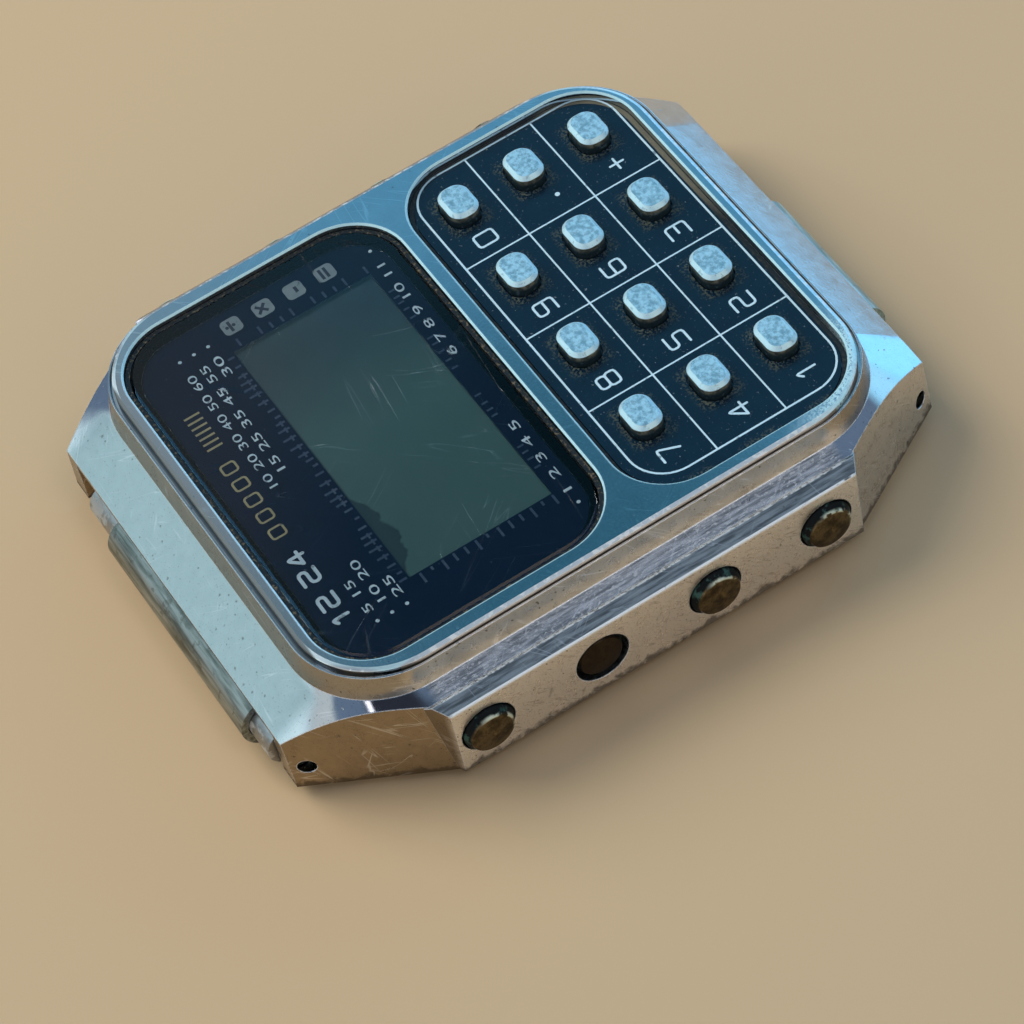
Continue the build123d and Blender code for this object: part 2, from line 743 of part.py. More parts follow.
def main():
    write("case_body", case_body())
    write("bezel", bezel())
    write("lcd_crystal", lcd_crystal())
    write("crystal_gasket", crystal_gasket())
    write("printed_mask", printed_mask())
    write("lcd_panel", lcd_panel())
    write("lcd_reflector", lcd_reflector())
    write("zebra_strips", zebra_strips())
    write("keypad_plate", keypad_plate())
    write("keypad_seal", keypad_seal())
    write("keypad_rubber", keypad_rubber())
    write("key_contact_board", key_contact_board())
    one_key = key()
    for name, x, y in key_places():
        write(f"key_{name}", Pos(x, y, 0) * one_key)
    for side, sign, number, y, sunk in side_places():
        write(f"pusher_{side}_{number}", pusher(sign, y, sunk))
        write(f"pusher_clip_{side}_{number}", pusher_clip(sign, y, sunk))
    write("pusher_springs", pusher_springs())
    write("pusher_seals", pusher_seals())
    for hour, y, ends, roll in (("12", bar_y, barrel_ends_12, roll_ends_12),
                                ("6", -bar_y, barrel_ends_6, roll_ends_6)):
        write(f"spring_bar_{hour}", spring_bar(ends, y))
        write(f"bar_tip_{hour}_left", bar_tip(ends, y, -1))
        write(f"bar_tip_{hour}_right", bar_tip(ends, y, 1))
        write(f"end_link_{hour}", end_link(roll, y))
    write("case_back", case_back())
    write("back_gasket", back_gasket())
    write("back_screws", back_screws())
    write("module_frame", module_frame())
    write("circuit_board", circuit_board())
    write("battery_holder", battery_holder())
    write("battery", battery())
    write("battery_clamp", battery_clamp())
    write("sounder", sounder())
    write("lamp", lamp())


main()
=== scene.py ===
"""Looks of the calculator watch head: camera, light, worn finishes and printed marks."""
import json
import math

import bmesh
import bpy
from mathutils import Matrix, Vector


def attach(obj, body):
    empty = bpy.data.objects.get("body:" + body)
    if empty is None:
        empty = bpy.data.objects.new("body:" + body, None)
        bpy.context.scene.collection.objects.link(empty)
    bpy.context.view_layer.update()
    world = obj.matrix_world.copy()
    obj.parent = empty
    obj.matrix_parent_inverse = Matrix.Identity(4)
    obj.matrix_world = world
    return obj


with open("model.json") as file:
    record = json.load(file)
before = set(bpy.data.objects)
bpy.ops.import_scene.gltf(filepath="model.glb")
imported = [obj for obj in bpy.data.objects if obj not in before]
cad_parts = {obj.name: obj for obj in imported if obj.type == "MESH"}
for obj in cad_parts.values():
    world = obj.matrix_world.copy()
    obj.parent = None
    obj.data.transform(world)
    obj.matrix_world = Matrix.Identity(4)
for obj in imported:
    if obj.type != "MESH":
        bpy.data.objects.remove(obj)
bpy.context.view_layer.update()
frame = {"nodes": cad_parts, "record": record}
MM = 0.001

# Camera
EYE = Vector((-0.128542, 0.047216, 0.171393))
VIEW_RIGHT = Vector((-0.517402, -0.842054, -0.152447))
VIEW_UP = Vector((0.633655, -0.496723, 0.593083))
LENS = 139.936
SENSOR = 36.0

# Heights of the printed surfaces, in millimetres
PLATE_TOP = 7.4
MASK_TOP = 6.65
PRINT_LIFT = 0.004
LAP_LIFT = 0.0015

# Keypad print, in millimetres
GRID_X = (-12.49, -6.16, 0.14, 6.44, 13.42)
GRID_Y = (-3.07, -7.16, -11.49, -15.78)
GRID_CORNER = 2.3
LINE_WIDE = 0.10
FRAME_WIDE = 0.12
DIGIT_X = (-11.05, -4.98, 1.43, 7.71)
DIGIT_Y = (-5.1, -9.47, -13.7)
DIGIT_ROWS = ("7890", "456.", "123+")
DIGIT_TALL = 1.2
DIGIT_WIDE = 0.95

# Strokes of the figures, in half widths and half heights from the middle
FIGURES = {
    "0": (((0, 1), (1, 1), (1, -1), (-1, -1), (-1, 1), (0, 1)),),
    "1": (((-0.5, 0.5), (0.15, 1), (0.15, -1)),),
    "2": (((-1, 1), (1, 1), (1, 0.05), (-1, 0.05), (-1, -1), (1, -1)),),
    "3": (((-1, 1), (1, 1), (1, -1), (-1, -1)), ((-0.4, 0.05), (1, 0.05))),
    "4": (((0.4, -1), (0.4, 1), (-1, -0.45)), ((-1, -0.45), (1, -0.45))),
    "5": (((1, 1), (-1, 1), (-1, 0.1), (1, 0.1), (1, -1), (-1, -1)),),
    "6": (((0.9, 1), (-1, 1), (-1, -1), (1, -1), (1, 0.05), (-1, 0.05)),),
    "7": (((-1, 1), (1, 1), (-0.1, -1)),),
    "8": (((0, 1), (0.9, 1), (0.9, 0.05), (-0.9, 0.05), (-0.9, 1), (0, 1)),
          ((0, 0.05), (1, 0.05), (1, -1), (-1, -1), (-1, 0.05), (0, 0.05))),
    "9": (((-0.9, -1), (1, -1), (1, 1), (-1, 1), (-1, 0), (1, 0)),),
    "+": (((-0.9, 0), (0.9, 0)), ((0, 0.7), (0, -0.7))),
}

# Keys, for the grime that gathers round them
KEY_FIRST_X = -8.46
KEY_PITCH_X = 6.27
KEY_MIDDLE_Y = -9.3
KEY_PITCH_Y = 4.27
KEY_HALF_X = 1.26
KEY_HALF_Y = 0.92

# Pushers, for the painted highlight round their faces
PUSHER_FIRST_Y = -10.35
PUSHER_PITCH = 7.0
PUSHER_Z = 3.25
PUSHER_FACE = (1.27, 1.33)
PUSHER_RING = (1.12, 1.22)
PUSHER_RING_END = (1.27, 1.36)
STUCK_Y = (1.6, 1.7)
STUCK_END_Y = (5.6, 5.7)

# Zones of the case, in millimetres: where each begins to show and where it is full
SLOPE_Y = (17.2, 17.7)
SLOPE_END_X = (11.2, 12.6)
PAD_TOP_X = (16.22, 16.3)
BAND_X = (14.9, 15.0)
BAND_END_Y = (12.2, 12.9)
FACET_Y = (12.4, 12.8)
# Where the painted dark reflection on the 12 o'clock corner facets begins and where it is full
SHADE_12_Y = (0.0, 8.0)
SIDE_WALL_X = (14.5, 14.7)
SHOULDER_Z = (5.95, 6.1)
LIP_Y = (15.4, 16.4)
RIM_X = (17.05, 17.09)
RIM_Z = (5.56, 5.60)
CREST_X = (16.0, 16.05)
CREST_END_X = (16.26, 16.34)
FOOT_Z = (0.0, 0.45)

# Zones of the bezel, given in the same way
BEZEL_SIDE_X = (14.3, 14.42)
BEZEL_END_Y = (16.6, 16.75)
BEZEL_CORNER = (28.2, 28.6)
BEZEL_12_Y = (15.6, 16.5)
BEZEL_FROST = (16.8, 20.0)

# Display opening and the marks round it
WINDOW_LEFT = -9.3
WINDOW_RIGHT = 9.8
WINDOW_LOW = 1.2
WINDOW_HIGH = 10.0
GROUND_X = 12.66
GROUND_LOW = -0.26
GROUND_HIGH = 15.36
COMB_PITCH = 0.62
ICON_X = 11.5
ICON_Y = (9.18, 7.17, 5.16, 3.17)
ICON_WIDE = 1.15
ICON_CORNER = 0.3
ICON_SIGNS = ("÷", "×", "-", "=")

# Rows of plain numbers on the display's printed sheet: each word with its first and last x
DIAL_ROWS = (12.73, 11.84, 10.94, 0.39)
DIAL_WORDS = ((("5 15", -9.9, -7.5), ("10 20 30 40 50 60", 0.2, 9.7)),
              (("10 20", -9.8, -6.65), ("15 25 35 45 55", 0.95, 9.85)),
              (("25", -9.95, -8.45), ("30", 8.5, 10.1)),
              (("1 2 3 4 5", -9.8, -4.0), ("6 7 8 9 10 11", 2.1, 10.15)))
DIAL_TALL = 0.5
DOT_LEFT = -10.64
DOT_RIGHT = 11.03
DOT_RADIUS = 0.11

# Head row: a large number pair, open gold shapes and gold ticks
HEAD_ROW = 14.2
HEAD_FIGURES = (("1", -9.3), ("2", -8.0), ("2", -6.0), ("4", -4.6))
GOLD_FIRST_X = -2.4
GOLD_PITCH = 1.33
TICK_FIRST_X = 4.6
TICK_PITCH = 0.44

# Directions of scratches: turn and tilt in radians, and how narrow the lines are
SCRATCH_WAYS = ((0.6, 0.5, 0.05), (-0.5, -0.7, 0.07), (1.45, 0.9, 0.04), (2.3, -0.4, 0.09))

# Studio: floor, sky, and windows in the sky with their direction, the half angles in
# degrees of their full part and of their edge, and their tone. The windows are set for
# what the metal, keys and glass mirror to this camera, so other sides can look bluer,
# paler or darker than in plain light
FLOOR_TONE = (0.57, 0.41, 0.245, 1.0)
SKY_TONE = (0.15, 0.22, 0.32)
SKY_WINDOWS = (
    ((0.57, 0.66, 0.48), 14.0, 28.0, (0.85, 1.10, 1.16)),
    ((0.57, -0.81, 0.14), 14.0, 34.0, (0.45, 1.25, 2.00)),
    ((0.20, 0.63, 0.75), 4.0, 9.0, (0.62, 0.70, 0.72)),
    ((0.06, -0.89, 0.45), 8.0, 18.0, (0.50, 1.10, 1.50)),
    ((0.575, -0.21, 0.79), 10.0, 20.0, (0.14, 0.41, 0.62)),
    ((0.62, -0.09, 0.78), 3.0, 7.0, (0.30, 0.38, 0.42)),
    ((0.56, -0.215, 0.80), 1.5, 5.5, (0.040, 0.15, 0.225)),
    ((0.00, 0.13, 0.99), 8.0, 14.0, (0.03, 0.035, 0.05)),
    ((0.16, -0.23, 0.96), 4.0, 9.0, (0.58, 0.60, 0.66)),
    ((0.00, 0.29, 0.957), 0.5, 1.8, (2.2, 2.2, 2.4)),
    ((-0.90, -0.22, 0.30), 14.0, 34.0, (1.10, 0.94, 0.72)),
    ((-0.42, -0.22, 0.88), 6.0, 13.0, (3.0, 3.0, 3.1)),
    ((-0.3, 0.90, 0.30), 14.0, 34.0, (0.9, 0.85, 0.80)))
SOFTBOX_AIM = Vector((0.62, 0.38, 0.69)).normalized()
SOFTBOX_AWAY = 0.6
SOFTBOX_WIDE = 0.45


def tree_of(material):
    """Node tree of a material, with its Principled shader."""
    material.use_nodes = True
    return material.node_tree, material.node_tree.nodes["Principled BSDF"]


def new_node(tree, kind, **values):
    """Adds a node and sets its properties."""
    node = tree.nodes.new(kind)
    node.location = (180 * (len(tree.nodes) % 12), -220 * (len(tree.nodes) // 12))
    for name, value in values.items():
        setattr(node, name, value)
    return node


def feed(tree, socket, value):
    """Links a socket or sets a number, colour or direction."""
    if isinstance(value, (int, float)):
        socket.default_value = value
    elif isinstance(value, tuple):
        socket.default_value = (*value, 1.0) if len(socket.default_value) == 4 else value
    else:
        tree.links.new(value, socket)


def sum_of(tree, operation, first, second=0.0, clamp=False):
    """Math node on sockets or numbers."""
    node = new_node(tree, "ShaderNodeMath", operation=operation, use_clamp=clamp)
    feed(tree, node.inputs[0], first)
    feed(tree, node.inputs[1], second)
    return node.outputs[0]


def colours(tree, factor, first, second):
    """Colour mix of two sockets or colours."""
    node = new_node(tree, "ShaderNodeMix", data_type="RGBA")
    feed(tree, node.inputs[0], factor)
    feed(tree, node.inputs[6], first)
    feed(tree, node.inputs[7], second)
    return node.outputs[2]


def levels(tree, factor, first, second):
    """Plain number between two values."""
    node = new_node(tree, "ShaderNodeMix", data_type="FLOAT")
    feed(tree, node.inputs[0], factor)
    feed(tree, node.inputs[2], first)
    feed(tree, node.inputs[3], second)
    return node.outputs[0]


def ramp(tree, value, low, high):
    """Runs smoothly from 0 at low to 1 at high."""
    node = new_node(tree, "ShaderNodeMapRange", interpolation_type="SMOOTHSTEP")
    feed(tree, node.inputs["Value"], value)
    feed(tree, node.inputs["From Min"], low)
    feed(tree, node.inputs["From Max"], high)
    return node.outputs["Result"]


def times(tree, *masks):
    """Product of several masks."""
    result = masks[0]
    for mask in masks[1:]:
        result = sum_of(tree, "MULTIPLY", result, mask)
    return result


def flip(tree, mask):
    """One minus a mask."""
    return sum_of(tree, "SUBTRACT", 1.0, mask)


def stretched(tree, vector, scale, turn=(0.0, 0.0, 0.0)):
    """Coordinates first turned and then stretched, for a pattern with a direction."""
    node = new_node(tree, "ShaderNodeMapping", vector_type="TEXTURE")
    feed(tree, node.inputs["Vector"], vector)
    node.inputs["Rotation"].default_value = turn
    node.inputs["Scale"].default_value = tuple(1.0 / part for part in scale)
    return node.outputs["Vector"]


def noise(tree, vector, scale, detail=4.0, rough=0.55):
    """Cloudy pattern between 0 and 1."""
    node = new_node(tree, "ShaderNodeTexNoise")
    feed(tree, node.inputs["Vector"], vector)
    feed(tree, node.inputs["Scale"], scale)
    node.inputs["Detail"].default_value = detail
    node.inputs["Roughness"].default_value = rough
    return node.outputs["Fac"]


def new_group(name, inputs, outputs):
    """Empty shader group with named sockets."""
    group = bpy.data.node_groups.new(name, "ShaderNodeTree")
    for label, kind, value in inputs:
        socket = group.interface.new_socket(name=label, in_out="INPUT", socket_type=kind)
        if value is not None:
            socket.default_value = value
    for label, kind in outputs:
        group.interface.new_socket(name=label, in_out="OUTPUT", socket_type=kind)
    source = group.nodes.new("NodeGroupInput").outputs
    target = group.nodes.new("NodeGroupOutput").inputs
    return group, source, target


def speckle_group():
    """Flecks of grime, dust or corrosion where a fine cloud passes a level."""
    group, source, target = new_group(
        "speckle",
        [("Vector", "NodeSocketVector", None), ("Scale", "NodeSocketFloat", 4.0),
         ("Level", "NodeSocketFloat", 0.6), ("Softness", "NodeSocketFloat", 0.05)],
        [("Mask", "NodeSocketFloat")])
    cloud = noise(group, source["Vector"], source["Scale"], 8.0, 0.62)
    high = sum_of(group, "ADD", source["Level"], source["Softness"])
    feed(group, target["Mask"], ramp(group, cloud, source["Level"], high))
    return group


def scratch_group():
    """Thin broken lines in four directions."""
    group, source, target = new_group(
        "scratches",
        [("Vector", "NodeSocketVector", None), ("Scale", "NodeSocketFloat", 1.0),
         ("Width", "NodeSocketFloat", 0.02), ("Amount", "NodeSocketFloat", 0.5)],
        [("Mask", "NodeSocketFloat")])
    lines = 0.0
    for turn, tilt, reach in SCRATCH_WAYS:
        along = stretched(group, source["Vector"], (1.0, reach, reach), (0.0, tilt, turn))
        off = sum_of(group, "SUBTRACT", noise(group, along, source["Scale"], 2.0), 0.5)
        line = flip(group, ramp(group, sum_of(group, "ABSOLUTE", off), 0.0, source["Width"]))
        patch = stretched(group, source["Vector"], (1.0, 0.35, 0.35), (0.0, tilt, turn))
        patch_scale = sum_of(group, "MULTIPLY", source["Scale"], 0.6)
        broken = ramp(group, noise(group, patch, patch_scale, 2.0), 0.54, 0.64)
        lines = sum_of(group, "MAXIMUM", lines, times(group, line, broken))
    feed(group, target["Mask"], sum_of(group, "MULTIPLY", lines, source["Amount"]))
    return group


def pit_group():
    """Round pits of different sizes, with a height for the bump."""
    group, source, target = new_group(
        "pits",
        [("Vector", "NodeSocketVector", None), ("Scale", "NodeSocketFloat", 3.0),
         ("Size", "NodeSocketFloat", 0.3)],
        [("Mask", "NodeSocketFloat"), ("Height", "NodeSocketFloat")])
    warp = sum_of(group, "MULTIPLY", noise(group, source["Vector"], 5.0, 3.0), 0.25)
    moved = new_node(group, "ShaderNodeVectorMath", operation="ADD")
    feed(group, moved.inputs[0], source["Vector"])
    feed(group, moved.inputs[1], warp)
    cells = new_node(group, "ShaderNodeTexVoronoi")
    feed(group, cells.inputs["Vector"], moved.outputs[0])
    feed(group, cells.inputs["Scale"], source["Scale"])
    chance = new_node(group, "ShaderNodeSeparateColor")
    feed(group, chance.inputs[0], cells.outputs["Color"])
    size = times(group, source["Size"], sum_of(group, "MAXIMUM", chance.outputs[0], 0.3))
    here = sum_of(group, "GREATER_THAN", chance.outputs[1], 0.62)
    pit = times(group, here, flip(group, ramp(group, cells.outputs["Distance"],
                                              sum_of(group, "MULTIPLY", size, 0.5), size)))
    feed(group, target["Mask"], pit)
    feed(group, target["Height"], flip(group, pit))
    return group


def edge_group():
    """Where an edge turns: the difference between the rounded and the flat normal."""
    group, source, target = new_group(
        "edge_turn",
        [("Low", "NodeSocketFloat", 0.02), ("High", "NodeSocketFloat", 0.12)],
        [("Mask", "NodeSocketFloat")])
    rounded = new_node(group, "ShaderNodeBevel", samples=6)
    rounded.inputs["Radius"].default_value = 0.09 * MM
    flat = new_node(group, "ShaderNodeNewGeometry")
    meet = new_node(group, "ShaderNodeVectorMath", operation="DOT_PRODUCT")
    feed(group, meet.inputs[0], rounded.outputs[0])
    feed(group, meet.inputs[1], flat.outputs["Normal"])
    turned = flip(group, meet.outputs["Value"])
    feed(group, target["Mask"], ramp(group, turned, source["Low"], source["High"]))
    return group


def place_group(tree, group, **values):
    """One use of a shared group."""
    node = new_node(tree, "ShaderNodeGroup", node_tree=group)
    for name, value in values.items():
        feed(tree, node.inputs[name], value)
    return node.outputs


def surface(name, metallic=None, specular=None):
    """New material with its object coordinates in millimetres and its facing."""
    material = bpy.data.materials.new(name)
    tree, shader = tree_of(material)
    if metallic is not None:
        shader.inputs["Metallic"].default_value = metallic
    if specular is not None:
        shader.inputs["Specular IOR Level"].default_value = specular
    coords = new_node(tree, "ShaderNodeTexCoord")
    scale = new_node(tree, "ShaderNodeVectorMath", operation="SCALE")
    feed(tree, scale.inputs[0], coords.outputs["Object"])
    scale.inputs["Scale"].default_value = 1.0 / MM
    place = new_node(tree, "ShaderNodeSeparateXYZ")
    feed(tree, place.inputs[0], scale.outputs[0])
    geometry = new_node(tree, "ShaderNodeNewGeometry")
    facing = new_node(tree, "ShaderNodeSeparateXYZ")
    feed(tree, facing.inputs[0], geometry.outputs["Normal"])
    return material, tree, shader, scale.outputs[0], place.outputs, facing.outputs


def bump(tree, shader, height, strength, depth, worn_radius=None):
    """Small relief, over edges that wear has rounded."""
    node = new_node(tree, "ShaderNodeBump")
    node.inputs["Strength"].default_value = strength
    node.inputs["Distance"].default_value = depth * MM
    feed(tree, node.inputs["Height"], height)
    if worn_radius is not None:
        rounded = new_node(tree, "ShaderNodeBevel", samples=6)
        rounded.inputs["Radius"].default_value = worn_radius * MM
        feed(tree, node.inputs["Normal"], rounded.outputs[0])
    feed(tree, shader.inputs["Normal"], node.outputs[0])


def case_chrome():
    """Worn plated case: polished corners, frosted 12 slope, pitted upright faces, dull side bands, with
    painted highlights on edges and ledges, painted warm reflections on upright faces and walls and painted
    shade on the corner facets.
    """
    material, tree, shader, mm, place, facing = surface("case_chrome")
    upright = flip(tree, ramp(tree, facing["Z"], 0.3, 0.6))
    level = flip(tree, upright)
    wide = sum_of(tree, "ABSOLUTE", place["X"])
    long = sum_of(tree, "ABSOLUTE", place["Y"])
    slope_12 = times(tree, ramp(tree, place["Y"], *SLOPE_Y), level,
                     flip(tree, ramp(tree, wide, *SLOPE_END_X)))
    pad_top = times(tree, ramp(tree, wide, *PAD_TOP_X), level)
    middle = flip(tree, ramp(tree, long, *BAND_END_Y))
    band = times(tree, ramp(tree, wide, *BAND_X), flip(tree, pad_top), level, middle)
    wall = times(tree, upright, ramp(tree, place["Z"], *SHOULDER_Z))
    # Corner facets; on the 12 o'clock side they carry a painted dark warm reflection
    facets = times(tree, upright, ramp(tree, long, *FACET_Y))
    painted_shade_12 = times(tree, facets, ramp(tree, place["Y"], *SHADE_12_Y))
    cloud = noise(tree, mm, 1.3, 6.0)
    fine = noise(tree, mm, 6.0, 6.0)
    streak = ramp(tree, noise(tree, stretched(tree, mm, (6.0, 0.5, 6.0)), 1.0, 5.0), 0.32, 0.68)
    specks = place_group(tree, groups["speckle"], Vector=mm, Scale=4.5, Level=0.64, Softness=0.04)["Mask"]
    flecks = place_group(tree, groups["speckle"], Vector=mm, Scale=9.0, Level=0.58, Softness=0.05)["Mask"]
    pits = place_group(tree, groups["pits"], Vector=mm, Scale=2.6, Size=0.26)
    lines = place_group(tree, groups["scratches"], Vector=mm, Scale=1.4, Width=0.012, Amount=0.8)["Mask"]
    edges = place_group(tree, groups["edge_turn"], Low=0.02, High=0.10)["Mask"]
    # Painted highlights: glints on the side bands, a white line along the pad's outer top edge and a broken
    # bright line along its crest
    glint_cloud = noise(tree, stretched(tree, mm, (2.5, 1.2, 2.5)), 3.0, 6.0)
    glints = times(tree, band, ramp(tree, glint_cloud, 0.52, 0.64))
    rim = times(tree, ramp(tree, wide, *RIM_X), ramp(tree, place["Z"], *RIM_Z),
                ramp(tree, noise(tree, mm, 1.2, 5.0), 0.30, 0.38))
    crest_highlight = times(tree, ramp(tree, wide, *CREST_X), flip(tree, ramp(tree, wide, *CREST_END_X)), level,
                  ramp(tree, noise(tree, mm, 4.0, 6.0), 0.44, 0.52))
    ledge_highlights = times(tree, sum_of(tree, "MAXIMUM", rim, crest_highlight), middle)
    ragged = sum_of(tree, "ADD", place["Z"], sum_of(tree, "MULTIPLY", noise(tree, mm, 1.6, 6.0), -1.6))
    foot = times(tree, upright, flip(tree, ramp(tree, ragged, *FOOT_Z)))
    colour = colours(tree, cloud, (0.56, 0.58, 0.62), (0.72, 0.73, 0.76))
    # Upright faces are paler and warmer than level ones: a painted warm reflection
    colour = colours(tree, upright, colour, colours(tree, cloud, (0.92, 0.87, 0.84), (1.0, 0.99, 0.99)))
    # Corner facets painted greyer than other upright faces and dark brown towards 12 o'clock: painted shade
    # and a painted dark reflection
    colour = colours(tree, facets, colour, colours(tree, cloud, (0.58, 0.57, 0.57), (0.78, 0.76, 0.75)))
    colour = colours(tree, painted_shade_12, colour, colours(tree, cloud, (0.24, 0.19, 0.13), (0.42, 0.33, 0.23)))
    # Walls above the shoulder are painted brown: a painted warm reflection, darker on the end walls than on
    # the sides
    side_wall_reflection = colours(tree, cloud, (0.48, 0.44, 0.38), (0.66, 0.60, 0.52))
    end_wall_reflection = colours(tree, cloud, (0.34, 0.31, 0.27), (0.46, 0.42, 0.36))
    colour = colours(tree, wall, colour, colours(tree, ramp(tree, wide, *SIDE_WALL_X), end_wall_reflection, side_wall_reflection))
    colour = colours(tree, slope_12, colour, colours(tree, cloud, (0.46, 0.57, 0.59), (0.64, 0.76, 0.78)))
    colour = colours(tree, band, colour, colours(tree, streak, (0.26, 0.28, 0.30), (0.74, 0.75, 0.77)))
    colour = colours(tree, pad_top, colour, colours(tree, streak, (0.15, 0.17, 0.18), (0.48, 0.51, 0.52)))
    dirt = times(tree, pits["Mask"], levels(tree, upright, 0.45, 0.80))
    colour = colours(tree, dirt, colour, (0.12, 0.11, 0.09))
    colour = colours(tree, times(tree, specks, 0.40), colour, (0.20, 0.19, 0.17))
    colour = colours(tree, times(tree, flecks, levels(tree, upright, 0.16, 0.34)), colour, (0.16, 0.14, 0.11))
    pricks = place_group(tree, groups["pits"], Vector=mm, Scale=5.5, Size=0.16)["Mask"]
    pricks = times(tree, pricks, sum_of(tree, "MAXIMUM", upright, slope_12))
    colour = colours(tree, times(tree, pricks, 0.75), colour, (0.09, 0.08, 0.06))
    wrinkles = place_group(tree, groups["scratches"], Vector=mm, Scale=4.5, Width=0.03, Amount=1.0)["Mask"]
    colour = colours(tree, times(tree, wrinkles, upright, flip(tree, wall), 0.45), colour, (0.26, 0.21, 0.17))
    colour = colours(tree, times(tree, foot, 0.8), colour, (0.10, 0.075, 0.05))
    colour = colours(tree, times(tree, lines, 0.5), colour, (0.95, 0.97, 1.0))
    lip_12 = times(tree, ramp(tree, place["Y"], *LIP_Y), ramp(tree, place["Z"], *SHOULDER_Z))
    # Edges painted pale: partly real edge wear, partly a painted highlight, joined to the painted ledge lines
    # and glints
    worn = times(tree, edges, ramp(tree, noise(tree, mm, 3.0, 4.0), 0.34, 0.46), flip(tree, foot),
                 flip(tree, times(tree, lip_12, 0.85)))
    worn = sum_of(tree, "MAXIMUM", worn, ledge_highlights)
    pale = sum_of(tree, "MAXIMUM", worn, times(tree, glints, 0.6))
    colour = colours(tree, pale, colour, (0.90, 0.92, 0.94))
    feed(tree, shader.inputs["Base Color"], colour)
    feed(tree, shader.inputs["Metallic"], levels(tree, pale, 1.0, 0.35))
    rough = levels(tree, upright, 0.03, 0.24)
    rough = levels(tree, slope_12, rough, 0.44)
    rough = levels(tree, band, rough, 0.22)
    rough = levels(tree, pad_top, rough, 0.30)
    rough = sum_of(tree, "ADD", rough, sum_of(tree, "MULTIPLY", cloud, 0.08))
    rough = levels(tree, sum_of(tree, "MAXIMUM", dirt, sum_of(tree, "MAXIMUM", worn, foot)), rough, 0.55)
    feed(tree, shader.inputs["Roughness"], rough)
    matte = sum_of(tree, "MAXIMUM", upright, sum_of(tree, "MAXIMUM", slope_12, band))
    grain = times(tree, fine, levels(tree, matte, 0.04, 0.28))
    bump(tree, shader, sum_of(tree, "ADD", times(tree, pits["Height"], 0.8), grain), 0.35, 0.05, 0.10)
    return material


